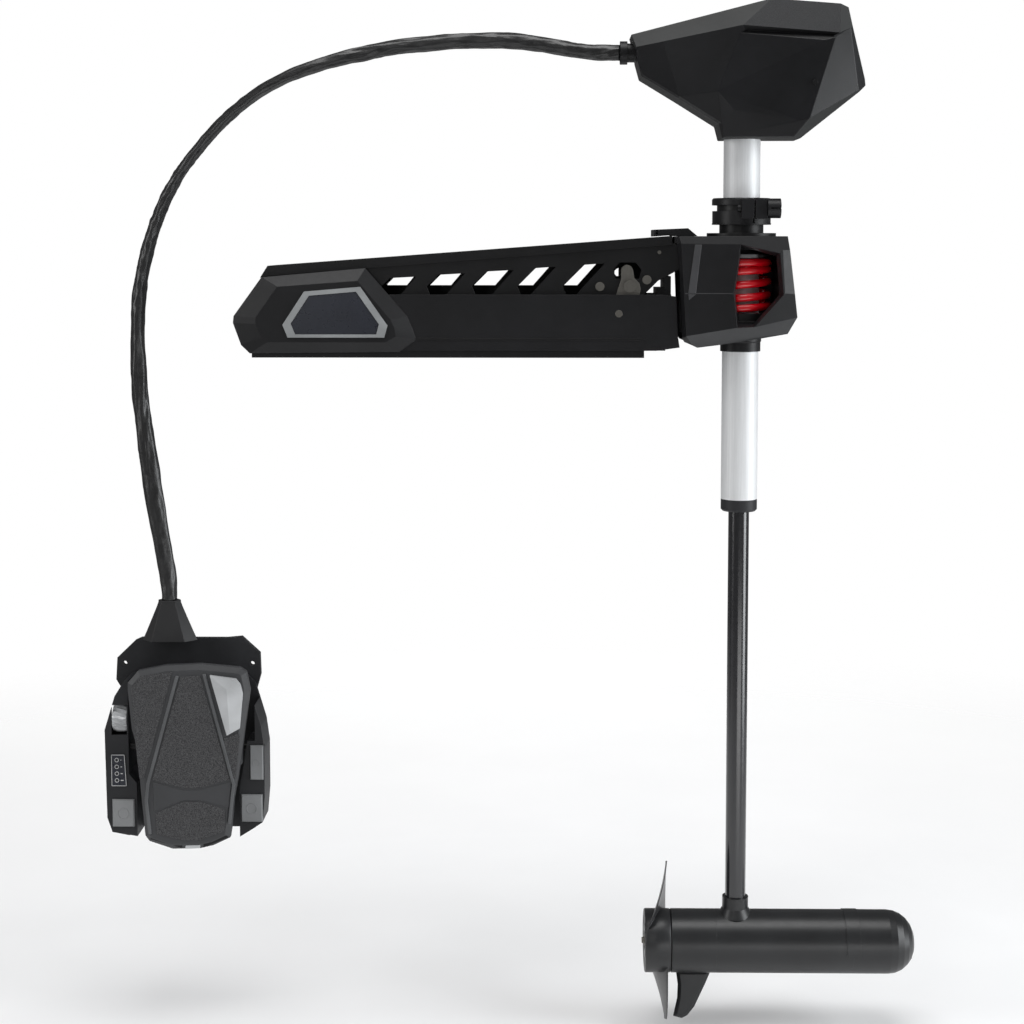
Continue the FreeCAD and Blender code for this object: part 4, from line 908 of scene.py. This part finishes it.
def make_heel_keys():
    """Bevelled keys with a raised generic symbol."""
    for node, body in (("left_heel_button", "left_heel"), ("right_mode_button", "right_mode"),
                       ("right_heel_button", "right_heel")):
        low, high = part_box(node)
        x0, x1, z0, z1 = low.x / MM, high.x / MM, low.z / MM, high.z / MM
        y0, y1 = high.y / MM, low.y / MM
        outline = [(x0, z0), (x1, z0), (x1, z1), (x0, z1)]
        base = soften(side_block("base", outline, y0, y1 + 3, KEY_GREY), 0.5)
        cap = soften(side_block("cap", outline, y1 + 3, y1, KEY_GREY, inset(outline, 1.3)), 0.4)
        cx, cz = (x0 + x1) / 2, (z0 + z1) / 2
        size = min(x1 - x0, z1 - z0) * 0.22
        loop = lathe("loop", [(size, 0), (size + 0.35, -0.5), (size + 0.9, -0.5), (size + 1.2, 0)],
                     (cx, y1, cz), "Y", KEY_GREY, 32)
        stand_in(joined(node + "_key", [base, cap, loop]), body, "button_grey", node)


def make_indicator_panel():
    low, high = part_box("indicator_panel")
    x0, x1, z0, z1 = low.x / MM, high.x / MM, low.z / MM, high.z / MM
    y0, y1 = high.y / MM, low.y / MM
    outline = [(x0, z0), (x1, z0), (x1 - 2.5, z1), (x0, z1)]
    panel = soften(side_block("panel", outline, y0, y1, MATERIALS["navy_panel"]), 0.4)
    parts = [panel]
    border = inset(outline, 0.7)
    for a, b in zip(border, border[1:] + border[:1]):
        along = (Vector(b) - Vector(a)).normalized()
        side = Vector((-along.y, along.x)) * 0.35
        corners = [Vector(a) - side, Vector(b) - side, Vector(b) + side, Vector(a) + side]
        parts.append(side_block("line", [tuple(c) for c in corners], y1, y1 - 0.18, MARK_WHITE))
    for row in range(4):
        z = z1 - 8 - row * 9.8
        parts.append(lathe("lamp_ring", [(2.3, 0), (2.3, -0.25), (3.0, -0.25), (3.0, 0)],
                           (x0 + 8, y1, z), "Y", MARK_WHITE, 32))
        parts.append(lathe("lamp", [(0.01, -0.1), (1.6, -0.1), (2.1, 0)], (x0 + 8, y1, z), "Y",
                           MATERIALS["charcoal_plastic"], 24))
        start, stop = x0 + 13.5, x0 + 14.5 + row
        bar = [(start, z - 0.6), (stop, z - 0.6), (stop, z + 0.6), (start, z + 0.6)]
        parts.append(side_block("bar", bar, y1, y1 - 0.2, MARK_WHITE))
    stand_in(joined("lamp_panel", parts), "column", "navy_panel", "indicator_panel")


def make_boot():
    """Strain relief: a four-sided tapering boot with sloped cheeks and a collar under the sleeve."""
    low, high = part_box("cable_boot")
    cx, cy = (low.x + high.x) / 2 / MM, (low.y + high.y) / 2 / MM
    levels = [(-412, 40, 24, 15.5), (-400, 34.5, 21, 15), (-380, 26, 16, 13.5), (-362, 18.5, 11.5, 11.5),
              (-356, 16.4, 10, 10.5), (-354.5, 16.6, 10.2, 10.6), (-353, 16.2, 9.9, 10.3)]
    points, faces = [], []
    for z, outer, inner, deep in levels:
        points += [(cx - outer, cy + 2, z), (cx - inner, cy - deep, z), (cx + inner, cy - deep, z),
                   (cx + outer, cy + 2, z), (cx + inner, cy + deep, z), (cx - inner, cy + deep, z)]
    for row in range(len(levels) - 1):
        for step in range(6):
            a, b = row * 6 + step, row * 6 + (step + 1) % 6
            faces.append((a, b, b + 6, a + 6))
    faces += [tuple(range(5, -1, -1)), tuple(range(6 * (len(levels) - 1), 6 * len(levels)))]
    boot = soften(mesh_from("cable_boot_skin", points, faces, RUBBER), 0.9, 3, 14)
    stand_in(boot, "column", "grip_rubber", "cable_boot")


def make_underside():
    """Rubber feet, screws and stiffening ribs on the pedal's underside."""
    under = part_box("pedal_base")[1].y / MM
    parts = []
    for x, z in ((-466, -505), (-292, -505), (-466, -662), (-292, -662)):
        parts.append(lathe("foot", [(12, 0), (12, 2.4), (10.5, 3.6), (4.5, 3.6), (4.2, 2.2), (0.01, 2.2)],
                           (x, under, z), "Y", RUBBER, 40))
    for x, z in ((-420, -500), (-340, -500), (-420, -670), (-340, -670)):
        parts.append(lathe("screw", [(4.6, 0), (4.2, 1.1), (2.3, 1.2), (2.1, 0.3), (0.01, 0.3)],
                           (x, under, z), "Y", MATERIALS["bare_steel"], 24))
    for x in (-445, -313):
        rib = [(x - 1.6, -655), (x + 1.6, -655), (x + 1.6, -515), (x - 1.6, -515)]
        parts.append(soften(side_block("rib", rib, under - 0.2, under + 1.6, RIB_GREY), 0.4))
    add_on(joined("pedal_underside", parts), "column")


def make_dark_strip_behind_spring():
    """Dark strip on the far side of the spring chamber, outside the coils."""
    outline = [(424, 50), (441, 50), (441, 150), (424, 150)]
    strip = soften(side_block("dark_strip_behind_spring", outline, 45, 46.4, MATERIALS["black_plastic"]), 0.4)
    add_on(strip, "mount")


def make_tray_beads():
    """Pressed stiffening bead low on each tray wall."""
    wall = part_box("base_tray")[1].y / MM
    bead = [(-60, 24), (268, 24), (272, 25.8), (268, 27.6), (-60, 27.6), (-64, 25.8)]
    parts = [soften(side_block("bead", bead, side * (wall - 0.2), side * (wall + 0.9),
                               MATERIALS["black_coated_metal"]), 0.35) for side in (-1, 1)]
    add_on(joined("tray_beads", parts), "base")


make_pad()
make_momentary_key()
make_wheel()
make_heel_keys()
make_indicator_panel()
make_boot()
make_underside()
make_dark_strip_behind_spring()
make_tray_beads()
